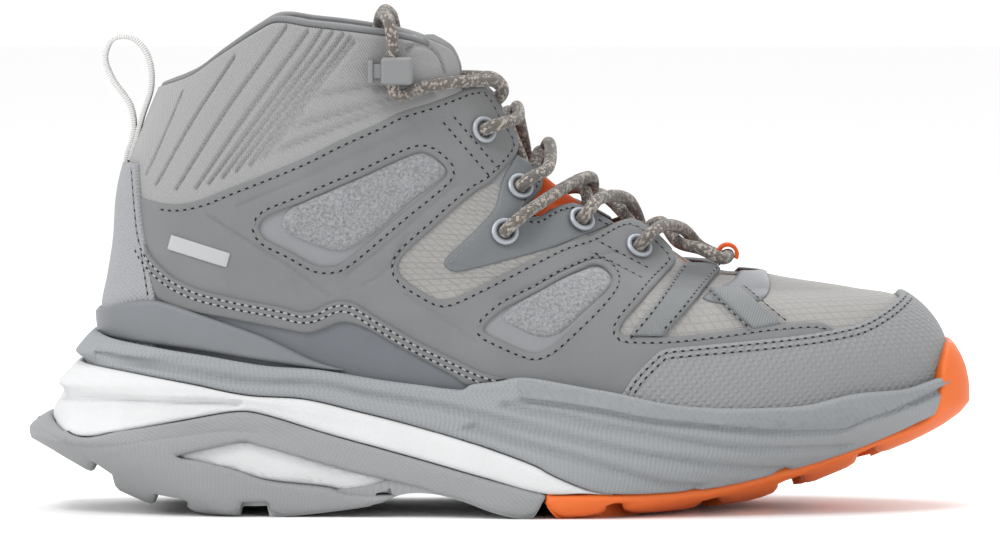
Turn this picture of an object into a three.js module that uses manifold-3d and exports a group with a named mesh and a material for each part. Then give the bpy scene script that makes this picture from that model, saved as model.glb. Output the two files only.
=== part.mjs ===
// A right hiking boot, mid height. Millimetres, +X to the toe, +Y to the inner (medial) side, +Z up.
// The origin is on the ground, under the middle of the boot.
// The upper is a stack of layers. Each layer is an offset of one curved surface, the form of the last.
import * as THREE from "three";
import { mergeVertices } from "three/addons/utils/BufferGeometryUtils.js";
import Module from "manifold-3d";

const wasm = await Module();
wasm.setup();

// ---------------------------------------------------------------- driving dimensions

const RING_STEPS = 32; // faces round the last
const RISE_STEPS = 12; // faces from the feather line to the collar
const FAR = 200; // past every side of the boot
const GAP = 0.35; // between neighbours that touch on the real boot

// How far each layer of the upper lies outside (+) or inside (-) the last surface.
const BASE_LAYER = [-2.0, -0.4];
const OVERLAY_LAYER = [0, 1.3];
const EYESTAY_LAYER = [0, 0.9];
const FELT_LAYER = [-0.05, 0.9];
const PATCH_LAYER = [0, 0.5];
const STRAP_LAYER = [0.8, 2.0];
const TOP_LAYER = [1.65, 2.8];
const CLIP_LAYER = [3.15, 4.6];
const STIFFENER_LAYER = [-3.3, -2.35];
const LINING_DEPTH = -3.65;
const LINING_THICKNESS = 1.5;
const COLLAR_PADDING = 6;
const SOLE_CLEARANCE = 3.5;

const RISE_LEVELS = Array.from({ length: RISE_STEPS + 1 }, (_, j) => (j / RISE_STEPS) ** 1.25);
const EDGE_TOP = 0.975; // where the collar's cloth stops, as a fraction of the rise
const FEATHER_LINE = 0.012; // the lowest edge of the upper's layers, as a fraction of the rise
const LINING_FOOT = 0.03; // the lowest edge of the lining and the stiffeners
const PADDING_START = 0.5; // where the collar's padding begins, and how far it takes to reach its full depth
const PADDING_SPAN = 0.14;
const FOAM_FACE = -2.4; // the padding's outer face, against the base layer
const BINDING_OUTSIDE = 0.3; // how far the edge binding stands out past the cloth
const BINDING_INSIDE = 0.2;
const FOOTBED_THICKNESS = 4.5;
const FOOTBED_INSET = { foot: 7, middle: 6.6, top: 7.4 };
const BOARD_GROWTH = 2.4; // the lasting board, past the last's bottom edge
const BOARD_FACES = [-2.5, -0.5];
const SHANK = { back: -70, front: 20, half: 10, faces: [-4.5, -3.2], top: 46 };
const SHANK_FREE = 1;

const TONGUE_TOP = -5.1; // the tongue's face below the last surface, midway between the eyestays
const LACE_RADIUS = 2.05;
const LACE_SIDES = 8;
const EYELET = { bore: 3.25, barrel: 3.75, flange: 4.7, sides: 9 };
const EYELET_HOLE_LENGTH = 14;
const EYELET_HOLE_FREE = 0.35;
// Side view x, z of the eyelets, the top one first.
const EYELET_PLACES = [[-6.3, 126.3], [6, 107.3], [1.3, 93], [26.3, 96], [45.3, 87]];
const LATERAL = -1;
const MEDIAL = 1;

// ---------------------------------------------------------------- the form of the last

// Profiles run up the middle of the heel and of the front: height fraction, x, z.
const BACK_PROFILE = [
  [0, -126, 48], [0.1, -129, 58], [0.2, -130, 68], [0.3, -128.3, 77], [0.45, -126.3, 90],
  [0.6, -125.3, 104], [0.75, -122.5, 116], [0.87, -117, 130], [1, -111.8, 142.8],
];
const FRONT_PROFILE = [
  [0, 145, 34], [0.1, 146.5, 55], [0.2, 135.5, 69], [0.3, 118, 73], [0.45, 85, 79],
  [0.6, 55, 92], [0.75, 25, 109.5], [0.87, 6, 127], [1, -3, 142],
];
// Half width over the roundness of the ring: height fraction, then one value for each of WIDTH_STATIONS.
const WIDTH_STATIONS = [0, 0.1, 0.3, 0.5, 0.7, 0.85, 1];
const HALF_WIDTHS = [
  [0, 40, 41, 36, 39, 48.5, 48.5, 38],
  [0.12, 42, 42.5, 36, 38, 46.5, 46, 38],
  [0.3, 44, 44, 35, 34, 35.8, 27, 22],
  [0.6, 42, 41, 36, 34, 33, 30, 22],
  [0.8, 39, 38, 35, 34, 33, 32, 26],
  [1, 32, 33, 34, 35, 35, 34, 33],
];
const CENTRE_SHIFT = [[0, 0], [0.3, -1.5], [0.5, -3.5], [0.7, -1], [0.85, 3], [1, 7]];
const COLLAR_RISE = [[0, 0], [0.1, 4.5], [0.18, 11], [0.29, 19.3], [0.35, 22.6], [0.45, 21.3], [0.6, 19.5],
  [0.75, 17], [0.85, 13], [0.93, 7], [1, 0]];
const COLLAR_RISE_START = 0.72;
const ARCH_DROP = 13;
const ARCH_DROP_END = 0.3;
const ARCH_DROP_AT = 0.64;
const ARCH_DROP_SPREAD = 0.36;

const clamp = (t) => Math.min(1, Math.max(0, t));
const smooth = (t) => clamp(t) ** 2 * (3 - 2 * clamp(t));

// Smooth curve through rows of [t, value, value...]; returns the values at t.
function alongRows(rows, t) {
  let i = 0;
  while (i < rows.length - 2 && t > rows[i + 1][0]) i += 1;
  const [a, b] = [rows[i], rows[i + 1]];
  const before = rows[Math.max(0, i - 1)];
  const after = rows[Math.min(rows.length - 1, i + 2)];
  const span = b[0] - a[0];
  const w = clamp((t - a[0]) / span);
  return a.slice(1).map((start, k) => {
    const end = b[k + 1];
    const slopeIn = (end - before[k + 1]) / (b[0] - before[0]);
    const slopeOut = (after[k + 1] - start) / (after[0] - a[0]);
    return (2 * w ** 3 - 3 * w ** 2 + 1) * start + (w ** 3 - 2 * w ** 2 + w) * span * slopeIn
      + (3 * w ** 2 - 2 * w ** 3) * end + (w ** 3 - w ** 2) * span * slopeOut;
  });
}

// Ring position u runs from the heel round the outer side to the toe (0.5) and back; v is the rise.
function lastPoint(u, v) {
  const angle = 2 * Math.PI * u;
  const s = (1 - Math.cos(angle)) / 2;
  const [backX, backZ] = alongRows(BACK_PROFILE, v);
  const [frontX, frontZ] = alongRows(FRONT_PROFILE, v);
  const widths = alongRows(HALF_WIDTHS, v);
  const [width] = alongRows(WIDTH_STATIONS.map((station, i) => [station, widths[i]]), s);
  const roundness = 0.5 + 0.25 * clamp(v / 0.6);
  const across = Math.sign(Math.sin(angle)) * Math.abs(Math.sin(angle)) ** roundness;
  const [shift] = alongRows(CENTRE_SHIFT, s);
  const arch = ARCH_DROP * Math.exp(-(((s - ARCH_DROP_AT) / ARCH_DROP_SPREAD) ** 2) * 2) * s * (1 - s) * 4;
  const [rise] = alongRows(COLLAR_RISE, s);
  return new THREE.Vector3(
    backX + (frontX - backX) * s,
    -width * across + shift * (1 - v),
    backZ + (frontZ - backZ) * s - arch * (1 - smooth(v / ARCH_DROP_END))
      + rise * smooth((v - COLLAR_RISE_START) / (1 - COLLAR_RISE_START)),
  );
}

function lastNormal(u, v) {
  const step = 0.004;
  const low = Math.max(0, v - step);
  const high = Math.min(1, v + step);
  const along = lastPoint(u + step, v).sub(lastPoint(u - step, v));
  const up = lastPoint(u, high).sub(lastPoint(u, low));
  return along.cross(up).normalize();
}

const offsetPoint = (u, v, offset) => lastPoint(u, v).addScaledVector(lastNormal(u, v), offset);

// The ring position and rise whose side view is (x, z), on the outer side.
function findOnLast(x, z) {
  let [u, v] = [0.3, 0.5];
  for (let i = 0; i < 40; i += 1) {
    const here = lastPoint(u, v);
    const step = 1e-4;
    const du = lastPoint(u + step, v).sub(here).divideScalar(step);
    const dv = lastPoint(u, v + step).sub(here).divideScalar(step);
    const det = du.x * dv.z - dv.x * du.z;
    const [ex, ez] = [x - here.x, z - here.z];
    u += THREE.MathUtils.clamp((ex * dv.z - dv.x * ez) / det, -0.05, 0.05);
    v += THREE.MathUtils.clamp((du.x * ez - ex * du.z) / det, -0.1, 0.1);
    u = THREE.MathUtils.clamp(u, 0.02, 0.48);
    v = THREE.MathUtils.clamp(v, 0.001, 0.999);
  }
  return [u, v];
}

function onUpper(x, z, side, offset) {
  const [u, v] = findOnLast(x, z);
  return offsetPoint(side === LATERAL ? u : 1 - u, v, offset);
}

function normalOnUpper(x, z, side) {
  const [u, v] = findOnLast(x, z);
  return lastNormal(side === LATERAL ? u : 1 - u, v);
}

// ---------------------------------------------------------------- solids

function toSolid(geometry) {
  const bare = geometry.clone();
  bare.deleteAttribute("normal");
  bare.deleteAttribute("uv");
  const merged = mergeVertices(bare, 1e-3);
  return new wasm.Manifold(new wasm.Mesh({
    numProp: 3,
    vertProperties: merged.attributes.position.array,
    triVerts: new Uint32Array(merged.index.array),
  }));
}

function toGeometry(solid) {
  const mesh = solid.simplify(0.05).getMesh();
  const geometry = new THREE.BufferGeometry();
  geometry.setAttribute("position", new THREE.BufferAttribute(new Float32Array(mesh.vertProperties), 3));
  geometry.setIndex(new THREE.BufferAttribute(new Uint32Array(mesh.triVerts), 1));
  geometry.computeVertexNormals();
  return geometry;
}

function fromFaces(points, faces) {
  const geometry = new THREE.BufferGeometry().setFromPoints(points);
  geometry.setIndex(faces.flat());
  return toSolid(geometry);
}

// A closed band of the last's surface, between two offsets. Offsets are numbers or functions of (u, v).
function layer([inner, outer], vLow = FEATHER_LINE, vHigh = EDGE_TOP) {
  const at = (offset, u, v) => (typeof offset === "function" ? offset(u, v) : offset);
  const levels = RISE_LEVELS.filter((v) => v > vLow + 0.004 && v < vHigh - 0.004);
  levels.unshift(vLow);
  levels.push(vHigh);
  const rows = levels.length - 1;
  const points = [];
  for (const offset of [inner, outer]) {
    for (const v of levels) {
      for (let i = 0; i < RING_STEPS; i += 1) {
        const u = i / RING_STEPS;
        points.push(offsetPoint(u, v, at(offset, u, v)));
      }
    }
  }
  const index = (side, j, i) => (side * (rows + 1) + j) * RING_STEPS + (i % RING_STEPS);
  const faces = [];
  const quad = (a, b, c, d) => faces.push([a, b, c], [a, c, d]);
  for (let i = 0; i < RING_STEPS; i += 1) {
    for (let j = 0; j < rows; j += 1) {
      const [a, b, c, d] = [[j, i], [j, i + 1], [j + 1, i + 1], [j + 1, i]];
      const turned = i < RING_STEPS / 2 ? [a, b, c, d] : [b, c, d, a];
      quad(...turned.map(([row, column]) => index(1, row, column)));
      const [p, q, r, t] = turned.map(([row, column]) => index(0, row, column));
      faces.push([p, r, q], [p, t, r]);
    }
    quad(index(0, 0, i), index(0, 0, i + 1), index(1, 0, i + 1), index(1, 0, i));
    quad(index(1, rows, i), index(1, rows, i + 1), index(0, rows, i + 1), index(0, rows, i));
  }
  return fromFaces(points, faces);
}

// A solid stack of rings, closed across by straight chords between the two sides.
function stack(rings) {
  const n = rings[0].length;
  const points = rings.flat();
  const faces = [];
  const quad = (a, b, c, d) => faces.push([a, b, c], [a, c, d]);
  rings.slice(1).forEach((ring, j) => {
    for (let i = 0; i < n; i += 1) {
      const next = (i + 1) % n;
      quad(j * n + i, j * n + next, (j + 1) * n + next, (j + 1) * n + i);
    }
  });
  const top = (rings.length - 1) * n;
  for (let i = 0; i < n / 2; i += 1) {
    const [a, b] = [i, i + 1];
    const [c, d] = [(n - i - 1) % n, (n - i) % n];
    if (i > 0) faces.push([a, c, b], [a, d, c], [top + a, top + b, top + c], [top + a, top + c, top + d]);
    else faces.push([a, c, b], [top + a, top + b, top + c]);
  }
  return fromFaces(points, faces.filter((f) => new Set(f).size === 3));
}

// One ring of the last's bottom edge, grown sideways and moved up or down.
function bottomRing(v, offset, lift) {
  const ring = [];
  for (let i = 0; i < RING_STEPS; i += 1) {
    const u = i / RING_STEPS;
    const flat = lastNormal(u, 0.02).setZ(0).normalize();
    const height = lastPoint(u, v).z + lift;
    ring.push(lastPoint(u, v).addScaledVector(flat, offset).setZ(height));
  }
  return ring;
}

// Everything inside the side view outline, from yLow to yHigh.
function sideCut(outline, yLow = -FAR, yHigh = FAR) {
  const shape = new THREE.Shape(outline.map(([x, z]) => new THREE.Vector2(x, z)));
  const geometry = new THREE.ExtrudeGeometry(shape, { depth: yHigh - yLow, bevelEnabled: false });
  geometry.rotateX(Math.PI / 2).translate(0, yHigh, 0);
  return toSolid(geometry);
}

// Everything inside the plan outline, above a height.
function planCut(outline, zLow) {
  const shape = new THREE.Shape(outline.map(([x, y]) => new THREE.Vector2(x, y)));
  const geometry = new THREE.ExtrudeGeometry(shape, { depth: FAR, bevelEnabled: false });
  return toSolid(geometry.translate(0, 0, zLow));
}

function box(low, high) {
  const size = high.map((value, i) => value - low[i]);
  const geometry = new THREE.BoxGeometry(...size);
  geometry.translate(...high.map((value, i) => (value + low[i]) / 2));
  return toSolid(geometry);
}

function cylinder(radius, length, sides, centre, direction) {
  const geometry = new THREE.CylinderGeometry(radius, radius, length, sides);
  const turn = new THREE.Quaternion().setFromUnitVectors(new THREE.Vector3(0, 1, 0), direction);
  geometry.applyQuaternion(turn).translate(centre.x, centre.y, centre.z);
  return toSolid(geometry);
}

function tube(points, radius, sides, steps) {
  const path = new THREE.CatmullRomCurve3(points, false, "centripetal");
  const circle = new THREE.Shape();
  for (let i = 0; i < sides; i += 1) {
    const angle = (2 * Math.PI * (i + 0.5)) / sides;
    const [x, y] = [radius * Math.cos(angle), radius * Math.sin(angle)];
    if (i === 0) circle.moveTo(x, y);
    else circle.lineTo(x, y);
  }
  return toSolid(new THREE.ExtrudeGeometry(circle, { steps, extrudePath: path, bevelEnabled: false }));
}

const sideRange = (side) => (side === LATERAL ? [-FAR, -GAP / 2] : [GAP / 2, FAR]);
const sideName = (side) => (side === LATERAL ? "lateral" : "medial");

// ---------------------------------------------------------------- the boot and its materials

const boot = new THREE.Group();

function colour(red, green, blue, roughness = 0.8, metalness = 0) {
  const value = new THREE.Color().setRGB(red / 255, green / 255, blue / 255, THREE.SRGBColorSpace);
  return new THREE.MeshStandardMaterial({ color: value, roughness, metalness });
}

const NUBUCK = colour(137, 138, 139);
const RIPSTOP = colour(177, 175, 172);
const COLLAR_CLOTH = colour(159, 160, 162);
const UNDERLAY = colour(162, 164, 166, 0.6);
const FELT = colour(158, 160, 163, 1);
const TOE_WEAVE = colour(155, 157, 158, 0.9);
const TPU = colour(139, 143, 146, 0.5);
const RAND = colour(120, 124, 130, 0.6);
const WOVEN = colour(161, 163, 167, 0.9);
const WEBBING = colour(142, 146, 147, 0.9);
const LIGHT_WEBBING = colour(214, 214, 212, 0.9);
const LINING_CLOTH = colour(120, 122, 125, 0.95);
const FOAM = colour(190, 190, 185, 0.95);
const BOARD = colour(200, 196, 186, 0.9);
const GREY_FOAM = colour(152, 156, 159, 0.75);
const WHITE_FOAM = colour(232, 232, 230, 0.75);
const RUBBER = colour(162, 164, 165, 0.7);
const ORANGE_RUBBER = colour(253, 150, 80, 0.6);
const ORANGE_CLOTH = colour(235, 100, 45, 0.9);
const EYELET_METAL = colour(185, 190, 196, 0.35, 0.6);
const LACE = colour(140, 134, 128, 0.95);
const LOCK = colour(132, 133, 134, 0.55);
const TAG = colour(205, 206, 208, 0.7);
const STEEL = colour(175, 178, 182, 0.3, 1);

function add(name, solid, material) {
  const mesh = new THREE.Mesh(toGeometry(solid), material);
  mesh.name = name;
  boot.add(mesh);
}

// ---------------------------------------------------------------- outlines in side view: x, z

const THROAT = [
  [-13, 152], [-12.5, 144.5], [-9, 141.6], [-6, 140.7], [-1.7, 136], [3.3, 127], [5.8, 120.5], [10.3, 114.1],
  [14, 109.7], [13.5, 106.7], [8.3, 100.5], [11.7, 98.1], [16.7, 100.7], [24, 102.6], [39, 96.4], [46.7, 94.7],
  [53, 89.3], [58, 84], [66, 80.4], [77, 78.2], [84, 100], [60, FAR], [-13, FAR],
];
const COLLAR_FRONT = [[-13.4, 146], [-14.7, 150.7], [-16.7, 153.7], [-20, 156.3], [-26, 159.2], [-26, FAR],
  [0, FAR], [0, 146]];
// The lining's own throat, wider to leave room for the lace and the tongue.
const INNER_THROAT = [[-18, FAR], [-18, 141], [-21, 128], [-16, 118], [-11, 104], [-9, 90], [-2, 84.5], [10, 84.5],
  [24, 86], [43, 77.5], [60, 74], [80, 68], [99, 70], [102, FAR]];
// The throat seen from above: x, then y on the outer side and on the inner side.
const THROAT_PLAN = [[-40, 17, 17.5], [0, 15.2, 17], [40, 10.6, 13.6], [66, 8.4, 12], [77, 0, 4]];
const THROAT_PLAN_FLOOR = 72;

const QUARTER_TOP = [[-FAR, 104.5], [-112.8, 102.9], [-106.9, 102.4], [-99.5, 103.7], [-88.8, 108],
  [-63.9, 118.3], [-40.6, 129.4], [-23.3, 136], [-11.7, 140.2]];
const QUARTER_FRONT = [[-6, 140.7], [-1.7, 136], [3.3, 127], [5.8, 121], [5, 118.3], [2, 114.7], [-7.3, 107],
  [-21.7, 95], [-33, 84.1], [-33.3, 80.8], [-30.8, 77.5], [-21.4, 71.7], [-15.7, 71.6], [0, 79.1],
  [20.8, 89], [39, 95.7], [46.7, 94.7], [53.3, 89.3], [58, 84], [54.3, 78.4], [45, 69], [39.3, 61.3],
  [43.3, 59.5], [55, 59.4], [92, 62.9], [106.7, 62.9], [109.9, 60.7], [104, 54], [60, 50], [50, 47],
  [44, 34]];
const QUARTER_FOOT = [[20, 34], [2, 36], [-8, 43], [-28, 54.5], [-45, 64], [-50, 66.5], [-58, 65.5],
  [-65, 63.5], [-84, 67.5], [-100, 71], [-108, 75], [-116, 84], [-FAR, 90]];
const UPPER_WINDOW = [[-79.2, 94.6], [-76.7, 98.5], [-66.7, 102.7], [-27, 119.7], [-24, 119.3], [-21.4, 117.8],
  [-17.6, 113.7], [-17.8, 112], [-51.3, 83.8], [-55.7, 82.2], [-60.1, 82.4], [-77.8, 91.8]];
const UPPER_FELT = [[-71.6, 96.3], [-69, 100.9], [-66, 102.2], [-27, 119.1], [-24.4, 118.8], [-21.6, 117.2],
  [-18.2, 113.4], [-43.5, 91.8], [-51.3, 87.7], [-56.8, 88.2], [-70.6, 94.2]];
const LOWER_WINDOW = [[-5.3, 61.3], [-2.3, 65.3], [6.7, 71], [20, 78], [26.7, 80.7], [32.3, 81.8], [36.3, 79],
  [36.7, 75.7], [30, 68], [20.7, 59.3], [15, 55], [11.7, 54], [3.3, 56.7], [-4.3, 60.3]];
const LOWER_FELT = [[0.7, 65.3], [2.3, 67.4], [7, 70.3], [20, 77.1], [27, 80], [32.1, 80.8], [35.6, 78.5],
  [35.7, 75.9], [20, 61], [14.3, 59.3], [5, 62.7], [1.6, 64.4]];
const EYESTAY_OUTLINE = [[5.7, 117.4], [10.3, 113.6], [13.6, 109.7], [13.1, 106.7], [8, 100.3], [11.7, 97.7],
  [16.7, 100.3], [24, 102.1], [30, 99.5], [37, 96], [19, 89.1], [-2.4, 83.4], [-14, 80.7], [-18.4, 82.9],
  [-18.1, 84.5], [-10, 92.3], [-3.5, 98.9], [-0.7, 105], [2.6, 114.6]];
const VAMP_SPLIT = [[24, -FAR], [30, 60], [42, 74], [50, 84], [58, 100], [58, FAR]];
const COLLAR_SPLIT = QUARTER_TOP.map(([x, z]) => [x, z - 6.5]).concat([[-5, 134], [5, 128], [30, 128]]);
const FOXING = [[-115.8, 89.4], [-114, 85.3], [-111.5, 82.3], [-107, 78.3], [-99.3, 74.7], [-83.7, 71],
  [-71.7, 68.7], [-65, 67], [-57.7, 69.3], [-49.1, 70.3], [-40.8, 65.6], [-28.2, 58.3], [-16.7, 52.7],
  [-5, 47.4], [2.3, 46.1], [-10.5, 43.2], [-33.3, 56.1], [-45.8, 62.7], [-52.2, 63.8], [-63.1, 60.3],
  [-71.7, 61.8], [-89, 65.2], [-102, 68.2], [-111.9, 72]];
const RAND_TOP = QUARTER_FOOT.slice(2).map(([x, z]) => [x, z - GAP]);
const BACKSTAY_OUTLINE = [[-FAR, 116.4], [-118.6, 115], [-117, 94.4], [-115.6, 85.4], [-113.6, 72.3],
  [-113.2, 52], [-FAR, 52]];
const TOE_CAP_OUTLINE = [[40.3, 37], [40.3, 41.2], [44, 46.7], [49.3, 52.1], [53.7, 55.3], [71.6, 56.9],
  [100, 59.2], [117.9, 62.1], [129, 67.4], [132.8, 71], [134, FAR], [FAR, FAR], [FAR, -FAR], [60, -FAR]];
const REAR_STRAP = [[44, 60.6], [53.2, 60.3], [72.5, 79], [68.5, 80.4], [61.3, 81.2]];
const FRONT_STRAP = [[70, 73.2], [79, 72.6], [91.5, 63.6], [83.3, 62.2]];
const THROAT_PATCH = [[78.2, FAR], [78, 76], [69, 71.6], [84, 70], [88.2, 72], [89.5, 75], [89, FAR]];
const HEEL_CLIP = [[-FAR, 66.4], [-132, 66.6], [-121.7, 69.8], [-114.1, 70.9], [-109, 70.1], [-96.3, 65.9],
  [-77.1, 58.9], [-60, 51.6], [-52.2, 49], [-77.4, 52], [-100.3, 55.8], [-123.3, 59], [-133, 61.3],
  [-FAR, 62]];
const TAG_OUTLINE = [[-107.7, 92.3], [-88.6, 86.4], [-89.9, 81.7], [-109, 87.5]];

// The sole, from the top down. Each list is one boundary, from heel to toe.
const FOAM_CUP_TOP = [[-142, 53.2], [-134.5, 60.7], [-115.3, 55.3], [-77.1, 49.7], [-60, 48.3], [-39, 45.4],
  [-11.8, 42.3], [-10.5, 43.7], [5.2, 46.4], [20, 44.7], [40.7, 41], [54.3, 38.2], [67.9, 36.8], [88.3, 36.5],
  [101.9, 37.2], [116.7, 40.2], [135.4, 41.6], [146.3, 44.4]];
const CARRIER_TOP = [[-138.3, 50.7], [-121.7, 47.8], [-102.7, 44.3], [-83.5, 40.4], [-64.3, 39.1], [-46, 34.9],
  [-25.4, 29.8], [-5, 23.7], [12, 17.5], [30.5, 9.2]];
const FOREFOOT_TOP = [[34, 7.9], [54.3, 7.8], [72, 9.1], [91.7, 13.1], [116.7, 20.4], [126, 23.9],
  [142, 30.7], [144.6, 34.1]];
const HEEL_OUTSOLE_TOP = [[-149.3, 32.3], [-139.3, 26.1], [-86.7, 34.7], [-81.3, 34.5], [-54, 26.7],
  [-25.4, 18.9], [-5, 13.1], [14.4, 7.6]];
const HEEL_WINDOW = [[-22, 8], [-52.7, 16.2], [-83, 24.8], [-106.1, 20], [-86.7, 15.5], [-77.1, 12],
  [-56, 9.3], [-50.7, 7.7], [-32.3, 7.7]];
const HEEL_TREAD = [[-39, 4.7], [-52.7, 2.2], [-75.1, 0], [-102.7, 0], [-115.3, 2.2], [-126.8, 7.3],
  [-135.1, 12.7], [-156.2, 24.5], [-156.3, 28.3]];
const FRONT_BRIDGE = [[10.3, 0], [7.9, 0], [-1.7, 1.9], [-12.5, 5.7]];
const HEEL_GROOVES = [
  [[-135, 8], [-133, 14.5], [-130, 16], [-127.5, 14], [-123, 2]],
  [[-115, -1], [-113, 6.3], [-106, 6.3], [-101.5, -1]],
  [[-88, -1], [-86, 5.3], [-79, 5.3], [-75, -1]],
];
const FOREFOOT_TREAD = [[126.1, 18.4], [118.6, 15.1], [102.7, 8.1], [100.8, 12], [92.7, 8.6], [88.3, 3.5],
  [72.7, 1.6], [71.7, 6], [66.5, 4.9], [63.5, 1.5], [59.7, 0], [40.3, 0], [40.3, 4.7], [35.2, 4.7],
  [29.8, 0], [19.3, 0], [17.6, 4.7], [15.1, 5]];
const BUMPER = [[147.6, 56.5], [150.2, 56.5], [154.1, 50], [156, 43], [156.5, 35.9], [152.5, 31.5],
  [136.8, 22.6]];
const CARRIER_CORE = [[-136, 31], [-126, 19], [-108, 11], [-60, 10], [-34, 12], [-22, 14], [-5, 19.5], [-5, 21],
  [-46, 32], [-102, 40], [-132, 44]];
const CORE_SPACE = [[-137, 30.4], [-126.4, 18.2], [-108.2, 10.4], [-60, 9.3], [-34, 11.4], [-21.6, 13.4],
  [-4.4, 19.2], [-4.4, FAR], [-137, FAR]];
const ARCH_FILLING = [[-24.5, 8.3], [-52.7, 15.6], [-83, 24.2], [-104, 20], [-86.7, 16], [-77.1, 12.5],
  [-56, 9.8], [-50, 8.3]];

// ---------------------------------------------------------------- the upper

const throatCut = sideCut(THROAT);
const collarFrontCut = sideCut(COLLAR_FRONT);
const innerThroatCut = sideCut(INNER_THROAT);
const throatPlanCut = planCut([
  ...THROAT_PLAN.map(([x, outer]) => [x, -outer]),
  ...THROAT_PLAN.map(([x, , inner]) => [x, inner]).reverse(),
], THROAT_PLAN_FLOOR);
const trimmed = (solid) => solid.subtract(throatCut).subtract(collarFrontCut).subtract(throatPlanCut);

function punched(solid, side, places) {
  return places.reduce((left, [x, z]) => {
    const centre = onUpper(x, z, side, 0);
    const radius = EYELET.barrel + EYELET_HOLE_FREE;
    const hole = cylinder(radius, EYELET_HOLE_LENGTH, EYELET.sides, centre, normalOnUpper(x, z, side));
    return left.subtract(hole);
  }, solid);
}

function baseLayer() {
  const base = trimmed(layer(BASE_LAYER));
  const vampCut = sideCut([...VAMP_SPLIT, [FAR, FAR], [FAR, -FAR]]);
  const behindVamp = sideCut([...VAMP_SPLIT.map(([x, z]) => [x - GAP, z]), [-FAR, FAR], [-FAR, -FAR]]);
  const collarCut = sideCut([...COLLAR_SPLIT, [30, FAR], [-FAR, FAR]]);
  const collarEdge = COLLAR_SPLIT.map(([x, z]) => [x, z - GAP]);
  const belowCollar = sideCut([...collarEdge, [FAR, 128], [FAR, -FAR], [-FAR, -FAR]]);
  add("vamp", base.intersect(vampCut), RIPSTOP);
  add("collar_textile", base.intersect(collarCut).intersect(behindVamp), COLLAR_CLOTH);
  for (const side of [LATERAL, MEDIAL]) {
    const half = sideCut([[-FAR, -FAR], [FAR, -FAR], [FAR, FAR], [-FAR, FAR]], ...sideRange(side));
    const panel = base.intersect(behindVamp).intersect(belowCollar).intersect(half);
    add(`underlay_${sideName(side)}`, punched(panel, side, EYELET_PLACES), UNDERLAY);
  }
}

function quarters() {
  const overlay = trimmed(layer(OVERLAY_LAYER));
  const rand = layer(OVERLAY_LAYER);
  const felt = layer(FELT_LAYER);
  for (const side of [LATERAL, MEDIAL]) {
    const range = sideRange(side);
    const outline = [...QUARTER_TOP, ...QUARTER_FRONT, ...QUARTER_FOOT];
    const windows = sideCut(UPPER_WINDOW).add(sideCut(LOWER_WINDOW));
    const quarter = overlay.intersect(sideCut(outline, ...range)).subtract(windows);
    const name = sideName(side);
    add(`quarter_${name}`, punched(quarter, side, [EYELET_PLACES[0], EYELET_PLACES[4]]), NUBUCK);
    const band = sideCut([...RAND_TOP, [-FAR, -FAR], [-6, -FAR]], ...range);
    add(`rand_${name}`, rand.intersect(band), RAND);
    add(`felt_upper_${name}`, felt.intersect(sideCut(UPPER_FELT, ...range)), FELT);
    add(`felt_lower_${name}`, felt.intersect(sideCut(LOWER_FELT, ...range)), FELT);
  }
}

function eyestays() {
  const band = layer(EYESTAY_LAYER);
  const ring = [
    [EYELET.bore, -2.5], [EYELET.barrel, -2.5], [EYELET.barrel, 1.9], [EYELET.flange, 1.9],
    [EYELET.flange, 2.5], [EYELET.flange - 0.8, 3.1], [EYELET.bore, 2.9], [EYELET.bore, -2.5],
  ].map(([radius, height]) => new THREE.Vector2(radius, height));
  const upright = new THREE.Vector3(0, 1, 0);
  for (const side of [LATERAL, MEDIAL]) {
    const range = sideRange(side);
    const stay = band.intersect(sideCut(EYESTAY_OUTLINE, ...range));
    add(`eyestay_${sideName(side)}`, punched(stay, side, EYELET_PLACES.slice(1, 4)), TPU);
    EYELET_PLACES.forEach(([x, z], i) => {
      const geometry = new THREE.LatheGeometry(ring, EYELET.sides);
      const turn = new THREE.Quaternion().setFromUnitVectors(upright, normalOnUpper(x, z, side));
      const centre = onUpper(x, z, side, 0);
      geometry.applyQuaternion(turn).translate(centre.x, centre.y, centre.z);
      add(`eyelet_${i + 1}_${sideName(side)}`, toSolid(geometry), EYELET_METAL);
    });
  }
}

function topOverlays() {
  const band = layer(TOP_LAYER);
  for (const side of [LATERAL, MEDIAL]) {
    const name = sideName(side);
    add(`foxing_${name}`, band.intersect(sideCut(FOXING, ...sideRange(side))), NUBUCK);
    const straps = layer(STRAP_LAYER);
    add(`strap_rear_${name}`, straps.intersect(sideCut(REAR_STRAP, ...sideRange(side))), WEBBING);
    add(`strap_front_${name}`, straps.intersect(sideCut(FRONT_STRAP, ...sideRange(side))), WEBBING);
  }
  add("backstay", band.intersect(sideCut(BACKSTAY_OUTLINE)), WOVEN);
  add("toe_cap", band.intersect(sideCut(TOE_CAP_OUTLINE)), TOE_WEAVE);
  add("throat_patch", layer(PATCH_LAYER).intersect(sideCut(THROAT_PATCH)), TPU);
  add("label_tag", layer([1.65, 2.35]).intersect(sideCut(TAG_OUTLINE, ...sideRange(LATERAL))), TAG);
  add("heel_clip", layer(CLIP_LAYER).intersect(sideCut(HEEL_CLIP)), TPU);
}

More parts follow.
